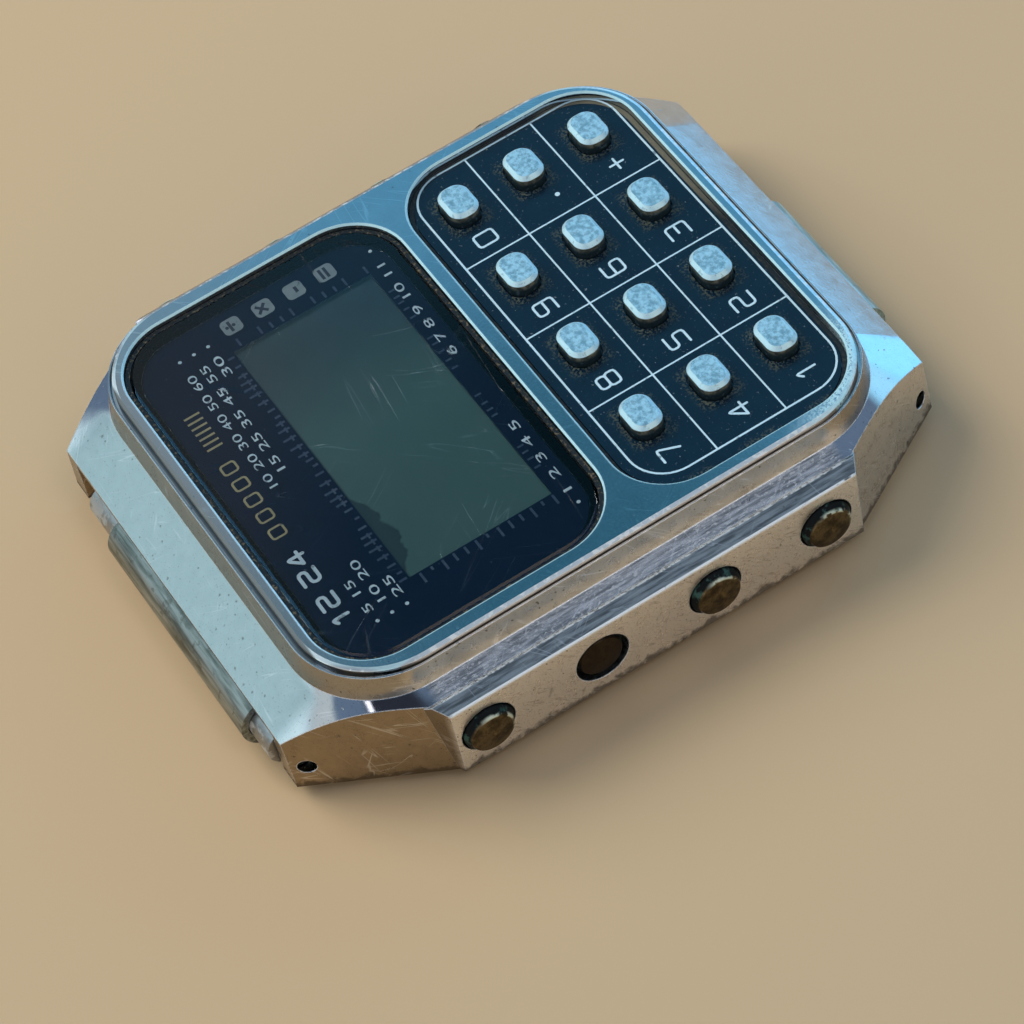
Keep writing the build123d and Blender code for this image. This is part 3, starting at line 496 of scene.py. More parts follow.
def bezel_chrome():
    """Blue-grey plated bezel with hairlines, nicked edges and a frosted corner; the blue-grey tint and brown
    sides are painted reflections and the bright chamfer lines painted highlights.
    """
    material, tree, shader, mm, place, facing = surface("bezel_chrome")
    cloud = noise(tree, mm, 0.9, 5.0)
    fine = noise(tree, mm, 7.0, 6.0)
    top = ramp(tree, facing["Z"], 0.9, 0.97)
    chamfers = times(tree, ramp(tree, facing["Z"], 0.45, 0.6), flip(tree, top))
    wide = sum_of(tree, "ABSOLUTE", place["X"])
    long = sum_of(tree, "ABSOLUTE", place["Y"])
    outer = sum_of(tree, "MAXIMUM", ramp(tree, wide, *BEZEL_SIDE_X), ramp(tree, long, *BEZEL_END_Y))
    corner = ramp(tree, sum_of(tree, "ADD", wide, long), *BEZEL_CORNER)
    outer = sum_of(tree, "MAXIMUM", outer, corner)
    end_12 = ramp(tree, place["Y"], *BEZEL_12_Y)
    slanting = sum_of(tree, "ADD", sum_of(tree, "MULTIPLY", place["X"], -0.7),
                      sum_of(tree, "MULTIPLY", place["Y"], -0.7))
    frosted = ramp(tree, slanting, *BEZEL_FROST)
    frosted = times(tree, frosted, ramp(tree, fine, 0.25, 0.6))
    lines = place_group(tree, groups["scratches"], Vector=mm, Scale=1.1, Width=0.010, Amount=0.9)["Mask"]
    pits = place_group(tree, groups["pits"], Vector=mm, Scale=2.0, Size=0.16)
    nicks = place_group(tree, groups["speckle"], Vector=mm, Scale=2.6, Level=0.52, Softness=0.05)["Mask"]
    # The blue-grey tint is a painted sky reflection, turning mauve-grey towards 12 o'clock as a painted
    # reflection too
    colour = colours(tree, cloud, (0.48, 0.55, 0.60), (0.62, 0.69, 0.74))
    colour = colours(tree, end_12, colour, (0.60, 0.58, 0.60))
    colour = colours(tree, frosted, colour, (0.62, 0.94, 1.0))
    colour = colours(tree, times(tree, lines, 0.5), colour, (0.93, 0.97, 1.0))
    colour = colours(tree, times(tree, pits["Mask"], 0.5), colour, (0.14, 0.16, 0.17))
    dust = place_group(tree, groups["speckle"], Vector=mm, Scale=7.0, Level=0.63, Softness=0.05)["Mask"]
    colour = colours(tree, times(tree, dust, top, 0.35), colour, (0.80, 0.92, 0.98))
    # Outer sides painted brown, a painted warm reflection, and dark brown at 12 o'clock, painted shade
    side = times(tree, outer, flip(tree, ramp(tree, facing["Z"], 0.3, 0.45)))
    colour = colours(tree, side, colour, colours(tree, end_12, (0.44, 0.38, 0.31), (0.20, 0.19, 0.16)))
    # Painted highlights on the chamfers: a light cyan line on the window edges and a cream line on the outer
    # edges, broken at the nicks; at 12 o'clock the outer line is dark, painted shade
    rubbed = times(tree, chamfers, levels(tree, outer, 0.85, levels(tree, nicks, 0.2, 0.95)))
    rubbed = sum_of(tree, "MAXIMUM", rubbed, times(tree, chamfers, outer, end_12))
    edges = place_group(tree, groups["edge_turn"], Low=0.01, High=0.05)["Mask"]
    rubbed = sum_of(tree, "MAXIMUM", rubbed, times(tree, edges, flip(tree, outer), 0.8))
    inner_highlight = colours(tree, end_12, (0.58, 0.90, 0.98), (0.78, 0.95, 1.0))
    outer_highlight_and_shade = colours(tree, end_12, (0.86, 0.88, 0.88), (0.20, 0.19, 0.17))
    colour = colours(tree, rubbed, colour, colours(tree, outer, inner_highlight, outer_highlight_and_shade))
    feed(tree, shader.inputs["Base Color"], colour)
    soft = sum_of(tree, "MAXIMUM", frosted, times(tree, rubbed, flip(tree, times(tree, end_12, outer))))
    feed(tree, shader.inputs["Metallic"], levels(tree, soft, 1.0, 0.3))
    rough = sum_of(tree, "ADD", 0.05, sum_of(tree, "MULTIPLY", fine, 0.10))
    rough = levels(tree, frosted, rough, 0.40)
    rough = levels(tree, sum_of(tree, "MAXIMUM", chamfers, times(tree, side, 0.6)), rough, 0.5)
    feed(tree, shader.inputs["Roughness"], rough)
    bump(tree, shader, sum_of(tree, "ADD", pits["Height"], times(tree, fine, 0.2)), 0.2, 0.03)
    return material


def crystal_glass():
    """Mineral glass with wipe marks and a few scratches."""
    material, tree, shader, mm, _, _ = surface("crystal_glass", 0.0)
    shader.inputs["Transmission Weight"].default_value = 1.0
    shader.inputs["IOR"].default_value = 1.5
    lines = place_group(tree, groups["scratches"], Vector=mm, Scale=0.7, Width=0.006, Amount=1.0)["Mask"]
    haze = noise(tree, mm, 0.5, 3.0)
    feed(tree, shader.inputs["Base Color"], colours(tree, haze, (0.90, 0.95, 0.96), (0.97, 0.99, 1.0)))
    rough = sum_of(tree, "ADD", sum_of(tree, "MULTIPLY", ramp(tree, haze, 0.55, 0.75), 0.03), 0.01)
    feed(tree, shader.inputs["Roughness"], sum_of(tree, "ADD", rough, times(tree, lines, 0.25)))
    bump(tree, shader, lines, 0.25, 0.02)
    return material


def seal_rubber():
    """Black rubber under gritty brown dirt, thick round the display only."""
    material, tree, shader, mm, place, _ = surface("seal_rubber", 0.0)
    grit = place_group(tree, groups["speckle"], Vector=mm, Scale=5.0, Level=0.52, Softness=0.09)["Mask"]
    grit = times(tree, grit, levels(tree, ramp(tree, place["Y"], -2.2, -1.6), 0.2, 1.0))
    rust = noise(tree, mm, 1.1, 4.0)
    dirt = colours(tree, rust, (0.07, 0.075, 0.055), (0.27, 0.22, 0.15))
    colour = colours(tree, grit, (0.010, 0.016, 0.020), dirt)
    toward_6 = sum_of(tree, "SUBTRACT", sum_of(tree, "MULTIPLY", place["X"], 0.35), place["Y"])
    far = times(tree, ramp(tree, toward_6, 16.2, 17.6), 0.85)
    colour = colours(tree, far, colour, colours(tree, rust, (0.13, 0.12, 0.085), (0.24, 0.22, 0.16)))
    feed(tree, shader.inputs["Base Color"], colour)
    feed(tree, shader.inputs["Roughness"], levels(tree, grit, 0.5, 0.9))
    bump(tree, shader, grit, 0.8, 0.06)
    return material


def dark_print(name, dark, pale, dusty):
    """Dark printed or enamelled sheet with dust specks."""
    material, tree, shader, mm, place, _ = surface(name, 0.0, 0.5 if dusty else 0.05)
    cloud = noise(tree, mm, 0.8, 4.0)
    dust_level = 0.63 if dusty else 0.69
    dust = place_group(tree, groups["speckle"], Vector=mm, Scale=5.0, Level=dust_level, Softness=0.05)["Mask"]
    colour = colours(tree, cloud, dark, pale)
    if dusty:
        step_x = sum_of(tree, "DIVIDE", sum_of(tree, "SUBTRACT", place["X"], KEY_FIRST_X), KEY_PITCH_X)
        step_y = sum_of(tree, "DIVIDE", sum_of(tree, "SUBTRACT", place["Y"], KEY_MIDDLE_Y), KEY_PITCH_Y)
        parts = []
        for step, pitch, half in ((step_x, KEY_PITCH_X, KEY_HALF_X), (step_y, KEY_PITCH_Y, KEY_HALF_Y)):
            near = sum_of(tree, "ABSOLUTE", sum_of(tree, "SUBTRACT", step, sum_of(tree, "ROUND", step)))
            past = sum_of(tree, "SUBTRACT", sum_of(tree, "MULTIPLY", near, pitch), half)
            out = sum_of(tree, "MAXIMUM", past, 0.0)
            parts.append(sum_of(tree, "MULTIPLY", out, out))
        away = sum_of(tree, "SQRT", sum_of(tree, "ADD", *parts))
        close = flip(tree, ramp(tree, away, 0.02, 0.62))
        grime = times(tree, close, ramp(tree, noise(tree, mm, 7.0, 6.0), 0.46, 0.62))
        colour = colours(tree, times(tree, grime, 0.55), colour, (0.13, 0.14, 0.09))
        shader_rough = levels(tree, grime, 0.22, 0.8)
    else:
        shader_rough = levels(tree, dust, 0.45, 0.7)
    colour = colours(tree, times(tree, dust, 0.5), colour, (0.25, 0.30, 0.32))
    feed(tree, shader.inputs["Base Color"], colour)
    feed(tree, shader.inputs["Roughness"], shader_rough)
    bump(tree, shader, dust, 0.3, 0.02)
    return material


def display_glass():
    """Blank grey-green display, browner to the right, with a dark leak along its low edge."""
    material, tree, shader, mm, place, _ = surface("display_glass", 0.0)
    across = ramp(tree, place["X"], 0.0, 9.0)
    colour = colours(tree, across, (0.056, 0.112, 0.094), (0.014, 0.016, 0.009))
    colour = colours(tree, times(tree, noise(tree, mm, 0.35, 3.0), 0.3), colour, (0.036, 0.056, 0.050))
    lobes = noise(tree, stretched(tree, mm, (0.9, 0.3, 1.0)), 1.0, 4.0)
    here = times(tree, ramp(tree, place["X"], -8.9, -7.2), flip(tree, ramp(tree, place["X"], -4.4, -2.6)))
    depth = times(tree, here, sum_of(tree, "MULTIPLY", lobes, 1.7))
    down = sum_of(tree, "SUBTRACT", WINDOW_HIGH, place["Y"])
    leak = flip(tree, ramp(tree, sum_of(tree, "SUBTRACT", down, depth), 0.0, 0.2))
    colour = colours(tree, times(tree, leak, 0.9), colour, (0.014, 0.016, 0.015))
    feed(tree, shader.inputs["Base Color"], colour)
    feed(tree, shader.inputs["Roughness"], sum_of(tree, "ADD", 0.14, times(tree, noise(tree, mm, 6.0), 0.1)))
    return material


def key_metal():
    """Mottled silver key with a painted highlight on its rim, dirty flanks and painted shade low on the
    flanks.
    """
    material, tree, shader, mm, place, facing = surface("key_metal")
    mottle = noise(tree, mm, 3.2, 8.0, 0.7)
    top = ramp(tree, facing["Z"], 0.92, 0.98)
    flank = flip(tree, ramp(tree, facing["Z"], 0.2, 0.45))
    rim = flip(tree, sum_of(tree, "MAXIMUM", top, flank))
    colour = colours(tree, ramp(tree, mottle, 0.36, 0.62), (0.20, 0.42, 0.54), (0.48, 0.82, 0.98))
    # Rim between top and flank painted bright: a painted highlight
    colour = colours(tree, rim, colour, (0.62, 0.90, 1.0))
    patches = ramp(tree, noise(tree, mm, 3.0, 5.0), 0.4, 0.65)
    dirty = colours(tree, patches, (0.10, 0.10, 0.07), (0.36, 0.34, 0.24))
    # Flank near the plate painted near black: painted shade; higher up the flank is dirty
    low = flip(tree, ramp(tree, place["Z"], 7.7, 8.0))
    colour = colours(tree, times(tree, flank, 0.95), colour, colours(tree, low, dirty, (0.010, 0.028, 0.040)))
    worn = place_group(tree, groups["speckle"], Vector=mm, Scale=3.5, Level=0.58, Softness=0.05)["Mask"]
    colour = colours(tree, times(tree, worn, 0.45), colour, (0.20, 0.32, 0.40))
    feed(tree, shader.inputs["Base Color"], colour)
    feed(tree, shader.inputs["Metallic"], levels(tree, flank, 0.45, 0.8))
    rough = sum_of(tree, "ADD", 0.30, times(tree, mottle, 0.2))
    feed(tree, shader.inputs["Roughness"], levels(tree, flank, rough, 0.6))
    bump(tree, shader, mottle, 0.55, 0.05, 0.10)
    return material


def worn_brass():
    """Pusher brass: dull brown face, dark flank and teal corrosion round the edge, with a pale painted
    highlight on the upper side of the ring.
    """
    material, tree, shader, mm, place, _ = surface("worn_brass")
    step = sum_of(tree, "DIVIDE", sum_of(tree, "SUBTRACT", place["Y"], PUSHER_FIRST_Y), PUSHER_PITCH)
    part_step = sum_of(tree, "SUBTRACT", step, sum_of(tree, "ROUND", step))
    across = sum_of(tree, "MULTIPLY", part_step, PUSHER_PITCH)
    up = sum_of(tree, "SUBTRACT", place["Z"], PUSHER_Z)
    radius = sum_of(tree, "SQRT", sum_of(tree, "ADD", times(tree, across, across), times(tree, up, up)))
    face = flip(tree, ramp(tree, radius, *PUSHER_FACE))
    cloud = noise(tree, mm, 1.6, 5.0)
    fine = noise(tree, mm, 6.0, 6.0)
    teal = place_group(tree, groups["speckle"], Vector=mm, Scale=1.2, Level=0.52, Softness=0.10)["Mask"]
    brass = colours(tree, ramp(tree, cloud, 0.35, 0.65), (0.055, 0.040, 0.022), (0.160, 0.120, 0.062))
    brass = colours(tree, times(tree, ramp(tree, fine, 0.50, 0.66), 0.5), brass, (0.036, 0.030, 0.022))
    stuck = times(tree, ramp(tree, place["Y"], *STUCK_Y), flip(tree, ramp(tree, place["Y"], *STUCK_END_Y)),
                  flip(tree, ramp(tree, place["X"], -0.1, 0.1)))
    brass = colours(tree, times(tree, stuck, 0.85), brass, (0.028, 0.020, 0.014))
    flank = colours(tree, teal, (0.018, 0.022, 0.024), (0.07, 0.15, 0.14))
    colour = colours(tree, face, flank, brass)
    # Pale crescent on the ring's upper side, broken by a cloud: a painted highlight
    turned = times(tree, ramp(tree, radius, *PUSHER_RING), flip(tree, ramp(tree, radius, *PUSHER_RING_END)))
    rubbed = times(tree, turned, ramp(tree, sum_of(tree, "SUBTRACT", up, across), 0.3, 1.3),
                   ramp(tree, noise(tree, mm, 1.5, 3.0), 0.40, 0.52), flip(tree, stuck))
    colour = colours(tree, rubbed, colour, (0.66, 0.72, 0.58))
    feed(tree, shader.inputs["Base Color"], colour)
    rough = levels(tree, face, 0.65, sum_of(tree, "ADD", 0.26, times(tree, cloud, 0.2)))
    feed(tree, shader.inputs["Roughness"], levels(tree, rubbed, rough, 0.5))
    feed(tree, shader.inputs["Metallic"], levels(tree, rubbed, 1.0, 0.5))
    bump(tree, shader, fine, 0.25, 0.05)
    return material


def link_steel():
    """Dull rolled sheet with rubbed streaks along the roll."""
    material, tree, shader, mm, place, _ = surface("link_steel", 1.0)
    streak = noise(tree, stretched(tree, mm, (0.3, 3.0, 3.0)), 1.0, 5.0)
    grime = place_group(tree, groups["speckle"], Vector=mm, Scale=1.6, Level=0.55, Softness=0.10)["Mask"]
    pale_end = flip(tree, ramp(tree, place["Y"], -1.0, 1.0))
    streaks = ramp(tree, streak, 0.3, 0.7)
    colour = colours(tree, streaks, (0.12, 0.14, 0.13), (0.42, 0.46, 0.45))
    colour = colours(tree, pale_end, colour, colours(tree, streaks, (0.26, 0.38, 0.42), (0.62, 0.80, 0.85)))
    colour = colours(tree, times(tree, grime, levels(tree, pale_end, 0.5, 0.25)), colour, (0.10, 0.10, 0.08))
    feed(tree, shader.inputs["Base Color"], colour)
    feed(tree, shader.inputs["Roughness"], sum_of(tree, "ADD", 0.34, times(tree, streak, 0.15)))
    bump(tree, shader, streak, 0.2, 0.04)
    return material


def steel_wire():
    """Spring bars, springs and screws: grey steel with pale corrosion."""
    material, tree, shader, mm, place, _ = surface("steel_wire", 1.0)
    crust = place_group(tree, groups["speckle"], Vector=mm, Scale=0.9, Level=0.52, Softness=0.06)["Mask"]
    cloud = noise(tree, mm, 2.5, 5.0)
    colour = colours(tree, cloud, (0.22, 0.23, 0.24), (0.50, 0.51, 0.52))
    colour = colours(tree, crust, colour, (0.70, 0.70, 0.68))
    # Bar ends inside the lugs painted near black: painted shade
    shaded_tips = ramp(tree, sum_of(tree, "ABSOLUTE", place["X"]), 11.1, 11.3)
    colour = colours(tree, shaded_tips, colour, (0.015, 0.018, 0.014))
    feed(tree, shader.inputs["Base Color"], colour)
    feed(tree, shader.inputs["Roughness"], levels(tree, crust, 0.38, 0.8))
    bump(tree, shader, cloud, 0.4, 0.05)
    return material


def plain_finish(name, metallic, dark, pale, rough, scale=1.2, stretch=(1.0, 1.0, 1.0)):
    """Finish of a hidden piece: two tones, fine scratches and a few specks."""
    material, tree, shader, mm, _, _ = surface(name, metallic)
    cloud = noise(tree, stretched(tree, mm, stretch), scale, 5.0)
    lines = place_group(tree, groups["scratches"], Vector=mm, Scale=1.0, Width=0.010, Amount=0.6)["Mask"]
    specks = place_group(tree, groups["speckle"], Vector=mm, Scale=2.4, Level=0.64, Softness=0.05)["Mask"]
    bright = tuple(min(1.0, 1.5 * part + 0.05) for part in pale)
    speck_tone = tuple(0.4 * part for part in dark)
    colour = colours(tree, cloud, dark, pale)
    colour = colours(tree, times(tree, lines, 0.35), colour, bright)
    colour = colours(tree, times(tree, specks, 0.4), colour, speck_tone)
    feed(tree, shader.inputs["Base Color"], colour)
    feed(tree, shader.inputs["Roughness"], sum_of(tree, "ADD", rough, times(tree, cloud, 0.12)))
    bump(tree, shader, cloud, 0.15, 0.03)
    return material


def lamp_glass():
    """Small clear lamp."""
    material, tree, shader, mm, _, _ = surface("lamp_glass", 0.0)
    shader.inputs["Transmission Weight"].default_value = 1.0
    cloud = noise(tree, mm, 2.0, 3.0)
    feed(tree, shader.inputs["Base Color"], colours(tree, cloud, (0.90, 0.86, 0.74), (0.98, 0.96, 0.90)))
    feed(tree, shader.inputs["Roughness"], sum_of(tree, "ADD", 0.03, times(tree, cloud, 0.05)))
    return material


def print_paint(name, dark, pale, rub):
    """Rubbed print: the paint's tone drops where it is worn."""
    material, tree, shader, mm, _, _ = surface(name, 0.0)
    wear = place_group(tree, groups["speckle"], Vector=mm, Scale=2.2, Level=rub, Softness=0.10)["Mask"]
    colour = colours(tree, noise(tree, mm, 1.5, 4.0), dark, pale)
    feed(tree, shader.inputs["Base Color"], colours(tree, times(tree, wear, 0.7), colour, (0.03, 0.06, 0.10)))
    shader.inputs["Roughness"].default_value = 0.5
    return material


def lay_print(name, shape, height, paint):
    """Turns flat print into a piece that lies just over its sheet."""
    bmesh.ops.translate(shape, verts=shape.verts, vec=Vector((0.0, 0.0, height + PRINT_LIFT)))
    bmesh.ops.scale(shape, verts=shape.verts, vec=Vector((MM, MM, MM)))
    mesh = bpy.data.meshes.new(name)
    shape.to_mesh(mesh)
    shape.free()
    piece = bpy.data.objects.new(name, mesh)
    bpy.context.scene.collection.objects.link(piece)
    mesh.materials.append(paint)
    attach(piece, "case")
    return piece


def add_strip(shape, low_x, low_y, high_x, high_y, height=0.0):
    """Flat straight bar of print."""
    made = bmesh.ops.create_grid(shape, x_segments=1, y_segments=1, size=0.5)["verts"]
    bmesh.ops.scale(shape, verts=made, vec=Vector((high_x - low_x, high_y - low_y, 1.0)))
    bmesh.ops.translate(shape, verts=made, vec=Vector(((low_x + high_x) / 2, (low_y + high_y) / 2, height)))
    return made


def add_quarter(shape, middle, turn, inner, outer, steps):
    """Quarter ring of print, spun from a line; turn counts the quarters from the +x side."""
    first = shape.verts.new((inner, 0.0, 0.0))
    last = shape.verts.new((outer, 0.0, 0.0))
    line = shape.edges.new((first, last))
    quarter = math.pi / 2
    turned = Matrix.Rotation(turn * quarter, 3, "Z")
    bmesh.ops.rotate(shape, verts=[first, last], cent=(0, 0, 0), matrix=turned)
    bmesh.ops.translate(shape, verts=[first, last], vec=middle)
    bmesh.ops.spin(shape, geom=[first, last, line], cent=middle, axis=(0, 0, 1), angle=quarter, steps=steps)


def add_outline(shape, centre, half_x, half_y, corner, wide):
    """Flat rounded frame: four bars and four quarter rings."""
    x, y = centre
    inner_x = half_x - corner
    inner_y = half_y - corner
    for side in (-1, 1):
        add_strip(shape, x - inner_x, y + side * half_y - wide / 2, x + inner_x, y + side * half_y + wide / 2)
        add_strip(shape, x + side * half_x - wide / 2, y - inner_y, x + side * half_x + wide / 2, y + inner_y)
    for side_x, side_y, turn in ((1, 1, 0), (-1, 1, 1), (-1, -1, 2), (1, -1, 3)):
        middle = Vector((x + side_x * inner_x, y + side_y * inner_y, 0.0))
        add_quarter(shape, middle, turn, corner - wide / 2, corner + wide / 2, 10)


def add_sheet(shape, low, high, corner, window):
    """Flat sheet with rounded corners and a window as wide as the straight part to its right."""
    left, bottom, right, top = window
    add_strip(shape, low[0], low[1] + corner, low[0] + corner, high[1] - corner)
    add_strip(shape, right, low[1] + corner, high[0], high[1] - corner)
    add_strip(shape, low[0] + corner, low[1], left, high[1])
    add_strip(shape, left, low[1], right, bottom)
    add_strip(shape, left, top, right, high[1])
    for x, y, turn in ((high[0] - corner, high[1] - corner, 0), (low[0] + corner, high[1] - corner, 1),
                       (low[0] + corner, low[1] + corner, 2), (high[0] - corner, low[1] + corner, 3)):
        add_quarter(shape, Vector((x, y, 0.0)), turn, 0.01, corner, 12)


def add_word(shape, word, centre, tall, stretch=1.0, bold=0.0, wide=None):
    """Plain numerals and signs, made a mesh before they are placed; a set width overrules the stretch."""
    letters = bpy.data.curves.new("numerals", "FONT")
    letters.body = word
    letters.size = tall * 1.42
    letters.align_x = "CENTER"
    letters.align_y = "CENTER"
    letters.offset = bold
    holder = bpy.data.objects.new("numerals", letters)
    bpy.context.scene.collection.objects.link(holder)
    bpy.context.view_layer.update()
    flat = bpy.data.meshes.new_from_object(holder.evaluated_get(bpy.context.evaluated_depsgraph_get()))
    bpy.data.objects.remove(holder)
    before = set(shape.verts)
    shape.from_mesh(flat)
    bpy.data.meshes.remove(flat)
    made = [vert for vert in shape.verts if vert not in before]
    if wide is not None:
        reach = [vert.co.x for vert in made]
        stretch = wide / (max(reach) - min(reach))
    bmesh.ops.scale(shape, verts=made, vec=Vector((stretch, 1.0, 1.0)))
    bmesh.ops.translate(shape, verts=made, vec=Vector((centre[0], centre[1], 0.0)))


def add_dot(shape, x, y, radius, height=0.0):
    """Round dot of print."""
    made = bmesh.ops.create_circle(shape, cap_ends=True, segments=20, radius=radius)["verts"]
    bmesh.ops.translate(shape, verts=made, vec=Vector((x, y, height)))


def add_path(shape, path, wide, height):
    """Strokes with round joints along a path, each a hair over the one before where they lap."""
    for at, (first, last) in enumerate(zip(path, path[1:])):
        along = last - first
        middle = (first + last) / 2
        turn = Matrix.Rotation(math.atan2(along.y, along.x), 3, "Z")
        made = bmesh.ops.create_grid(shape, x_segments=1, y_segments=1, size=0.5)["verts"]
        bmesh.ops.scale(shape, verts=made, vec=Vector((along.length, wide, 1.0)))
        bmesh.ops.rotate(shape, verts=made, cent=(0, 0, 0), matrix=turn)
        bmesh.ops.translate(shape, verts=made, vec=Vector((middle.x, middle.y, height + LAP_LIFT * (at % 2))))
    for at, point in enumerate(path):
        add_dot(shape, point.x, point.y, wide / 2, height + LAP_LIFT * (2 + at % 2))


def add_figure(shape, figure, centre, half_wide, half_tall, wide, corner):
    """Squarish figure of strokes with rounded corners."""
    for step, legs in enumerate(FIGURES[figure]):
        points = [Vector((centre[0] + half_wide * x, centre[1] + half_tall * y)) for x, y in legs]
        path = [points[0]]
        for before, point, after in zip(points, points[1:], points[2:]):
            back = (before - point).normalized() * corner
            ahead = (after - point).normalized() * corner
            path += [point + back, point + 0.29 * (back + ahead), point + ahead]
        path.append(points[-1])
        add_path(shape, path, wide, 4 * LAP_LIFT * step)


def keypad_print():
    """Frame, dividing lines and plain figures on the keypad plate."""
    shape = bmesh.new()
    centre = ((GRID_X[0] + GRID_X[-1]) / 2, (GRID_Y[0] + GRID_Y[-1]) / 2)
    half_x = (GRID_X[-1] - GRID_X[0]) / 2
    half_y = (GRID_Y[0] - GRID_Y[-1]) / 2
    add_outline(shape, centre, half_x, half_y, GRID_CORNER, FRAME_WIDE)
    for x in GRID_X[1:-1]:
        add_strip(shape, x - LINE_WIDE / 2, GRID_Y[-1], x + LINE_WIDE / 2, GRID_Y[0], LAP_LIFT)
    for y in GRID_Y[1:-1]:
        add_strip(shape, GRID_X[0], y - LINE_WIDE / 2, GRID_X[-1], y + LINE_WIDE / 2, 2 * LAP_LIFT)
    for row, y in zip(DIGIT_ROWS, DIGIT_Y):
        for figure, x in zip(row, DIGIT_X):
            if figure == ".":
                add_dot(shape, x + 0.2, y - 0.45, 0.15)
            else:
                add_figure(shape, figure, (x, y), DIGIT_WIDE / 2, DIGIT_TALL / 2, 0.14, 0.18)
    paint = print_paint("keypad_white", (0.42, 0.62, 0.74), (0.62, 0.80, 0.88), 0.60)
    lay_print("keypad_print", shape, PLATE_TOP, paint)


def dial_ground():
    """Navy sheet with the display's window, in the printed mask's finish."""
    shape = bmesh.new()
    add_sheet(shape, (-GROUND_X, GROUND_LOW), (GROUND_X, GROUND_HIGH), GROUND_X - WINDOW_RIGHT,
              (WINDOW_LEFT, WINDOW_LOW, WINDOW_RIGHT, WINDOW_HIGH))
    navy = frame["nodes"]["printed_mask"].data.materials[0]
    lay_print("dial_ground", shape, MASK_TOP + LAP_LIFT - PRINT_LIFT, navy)


def dial_numbers():
    """Rows of plain numbers with a dot at each end, and the large pair at the head."""
    shape = bmesh.new()
    for y, words in zip(DIAL_ROWS, DIAL_WORDS):
        for word, first, last in words:
            add_word(shape, word, ((first + last) / 2, y), DIAL_TALL, wide=last - first)
        if y > WINDOW_LOW:
            add_dot(shape, DOT_LEFT, y, DOT_RADIUS)
            add_dot(shape, DOT_RIGHT, y, DOT_RADIUS)
    add_dot(shape, DOT_LEFT, DIAL_ROWS[-1], DOT_RADIUS)
    add_dot(shape, DOT_RIGHT + 0.2, DIAL_ROWS[-1], DOT_RADIUS)
    for figure, x in HEAD_FIGURES:
        add_figure(shape, figure, (x, HEAD_ROW), 0.46, 0.48, 0.2, 0.2)
    paint = print_paint("dial_white", (0.42, 0.57, 0.66), (0.70, 0.83, 0.88), 0.56)
    lay_print("dial_print", shape, MASK_TOP, paint)


def dial_gold():
    """Open gold shapes and a row of gold ticks."""
    shape = bmesh.new()
    for step in range(5):
        add_outline(shape, (GOLD_FIRST_X + GOLD_PITCH * step, HEAD_ROW - 0.1), 0.36, 0.42, 0.18, 0.13)
    for step in range(7):
        x = TICK_FIRST_X + TICK_PITCH * step
        add_strip(shape, x, HEAD_ROW - 0.65, x + 0.14, HEAD_ROW + 0.3)
    paint = print_paint("dial_gold", (0.24, 0.21, 0.10), (0.46, 0.40, 0.20), 0.58)
    lay_print("dial_gold", shape, MASK_TOP, paint)


def dial_signs():
    """Four grey squares, each with a dark sign."""
    squares = bmesh.new()
    half = ICON_WIDE / 2
    for y in ICON_Y:
        made = add_strip(squares, ICON_X - half, y - half, ICON_X + half, y + half)
        bmesh.ops.bevel(squares, geom=made, offset=ICON_CORNER, segments=5, profile=0.5,
                        affect="VERTICES", material=-1)
    paint = print_paint("sign_grey", (0.17, 0.22, 0.24), (0.26, 0.32, 0.34), 0.62)
    lay_print("sign_squares", squares, MASK_TOP, paint)
    signs = bmesh.new()
    for y, sign in zip(ICON_Y, ICON_SIGNS):
        add_word(signs, sign, (ICON_X, y), 1.0, 1.1, 0.03)
    paint = print_paint("sign_dark", (0.002, 0.008, 0.03), (0.004, 0.02, 0.05), 0.7)
    lay_print("sign_marks", signs, MASK_TOP + PRINT_LIFT, paint)


def dial_comb():
    """Uneven teal ticks on all four sides of the display."""
    comb = bmesh.new()
    for step in range(int((WINDOW_RIGHT - WINDOW_LEFT) / COMB_PITCH) + 1):
        uneven = abs(math.sin(2.7 * step + 0.4))
        x = WINDOW_LEFT + COMB_PITCH * step + 0.12 * math.sin(5.1 * step)
        add_strip(comb, x, WINDOW_HIGH + 0.12, x + 0.15, WINDOW_HIGH + 0.4 + 0.5 * uneven)
        if uneven > 0.5:
            add_strip(comb, x - 0.18, WINDOW_HIGH + 0.30, x + 0.22, WINDOW_HIGH + 0.42, LAP_LIFT)
            add_strip(comb, x, WINDOW_LOW - 0.5, x + 0.13, WINDOW_LOW - 0.12)
    for step in range(13):
        uneven = abs(math.sin(1.9 * step + 1.1))
        y = WINDOW_LOW + 0.68 * step
        add_strip(comb, WINDOW_LEFT - 0.35 - 0.5 * uneven, y, WINDOW_LEFT - 0.1, y + 0.14)
        if uneven > 0.45:
            add_strip(comb, WINDOW_RIGHT + 0.12, y, WINDOW_RIGHT + 0.35 + 0.4 * uneven, y + 0.14)
    paint = print_paint("comb_teal", (0.0015, 0.020, 0.060), (0.004, 0.036, 0.100), 0.52)
    lay_print("comb_marks", comb, MASK_TOP, paint)


def place_camera():
    """Camera at the photograph's viewing angle."""
    data = bpy.data.cameras.new("camera")
    data.lens = LENS
    data.sensor_width = SENSOR
    camera = bpy.data.objects.new("camera", data)
    bpy.context.scene.collection.objects.link(camera)
    back = VIEW_RIGHT.cross(VIEW_UP)
    turn = Matrix((VIEW_RIGHT, VIEW_UP, back)).transposed().to_4x4()
    camera.matrix_world = Matrix.Translation(EYE) @ turn
    bpy.context.scene.camera = camera


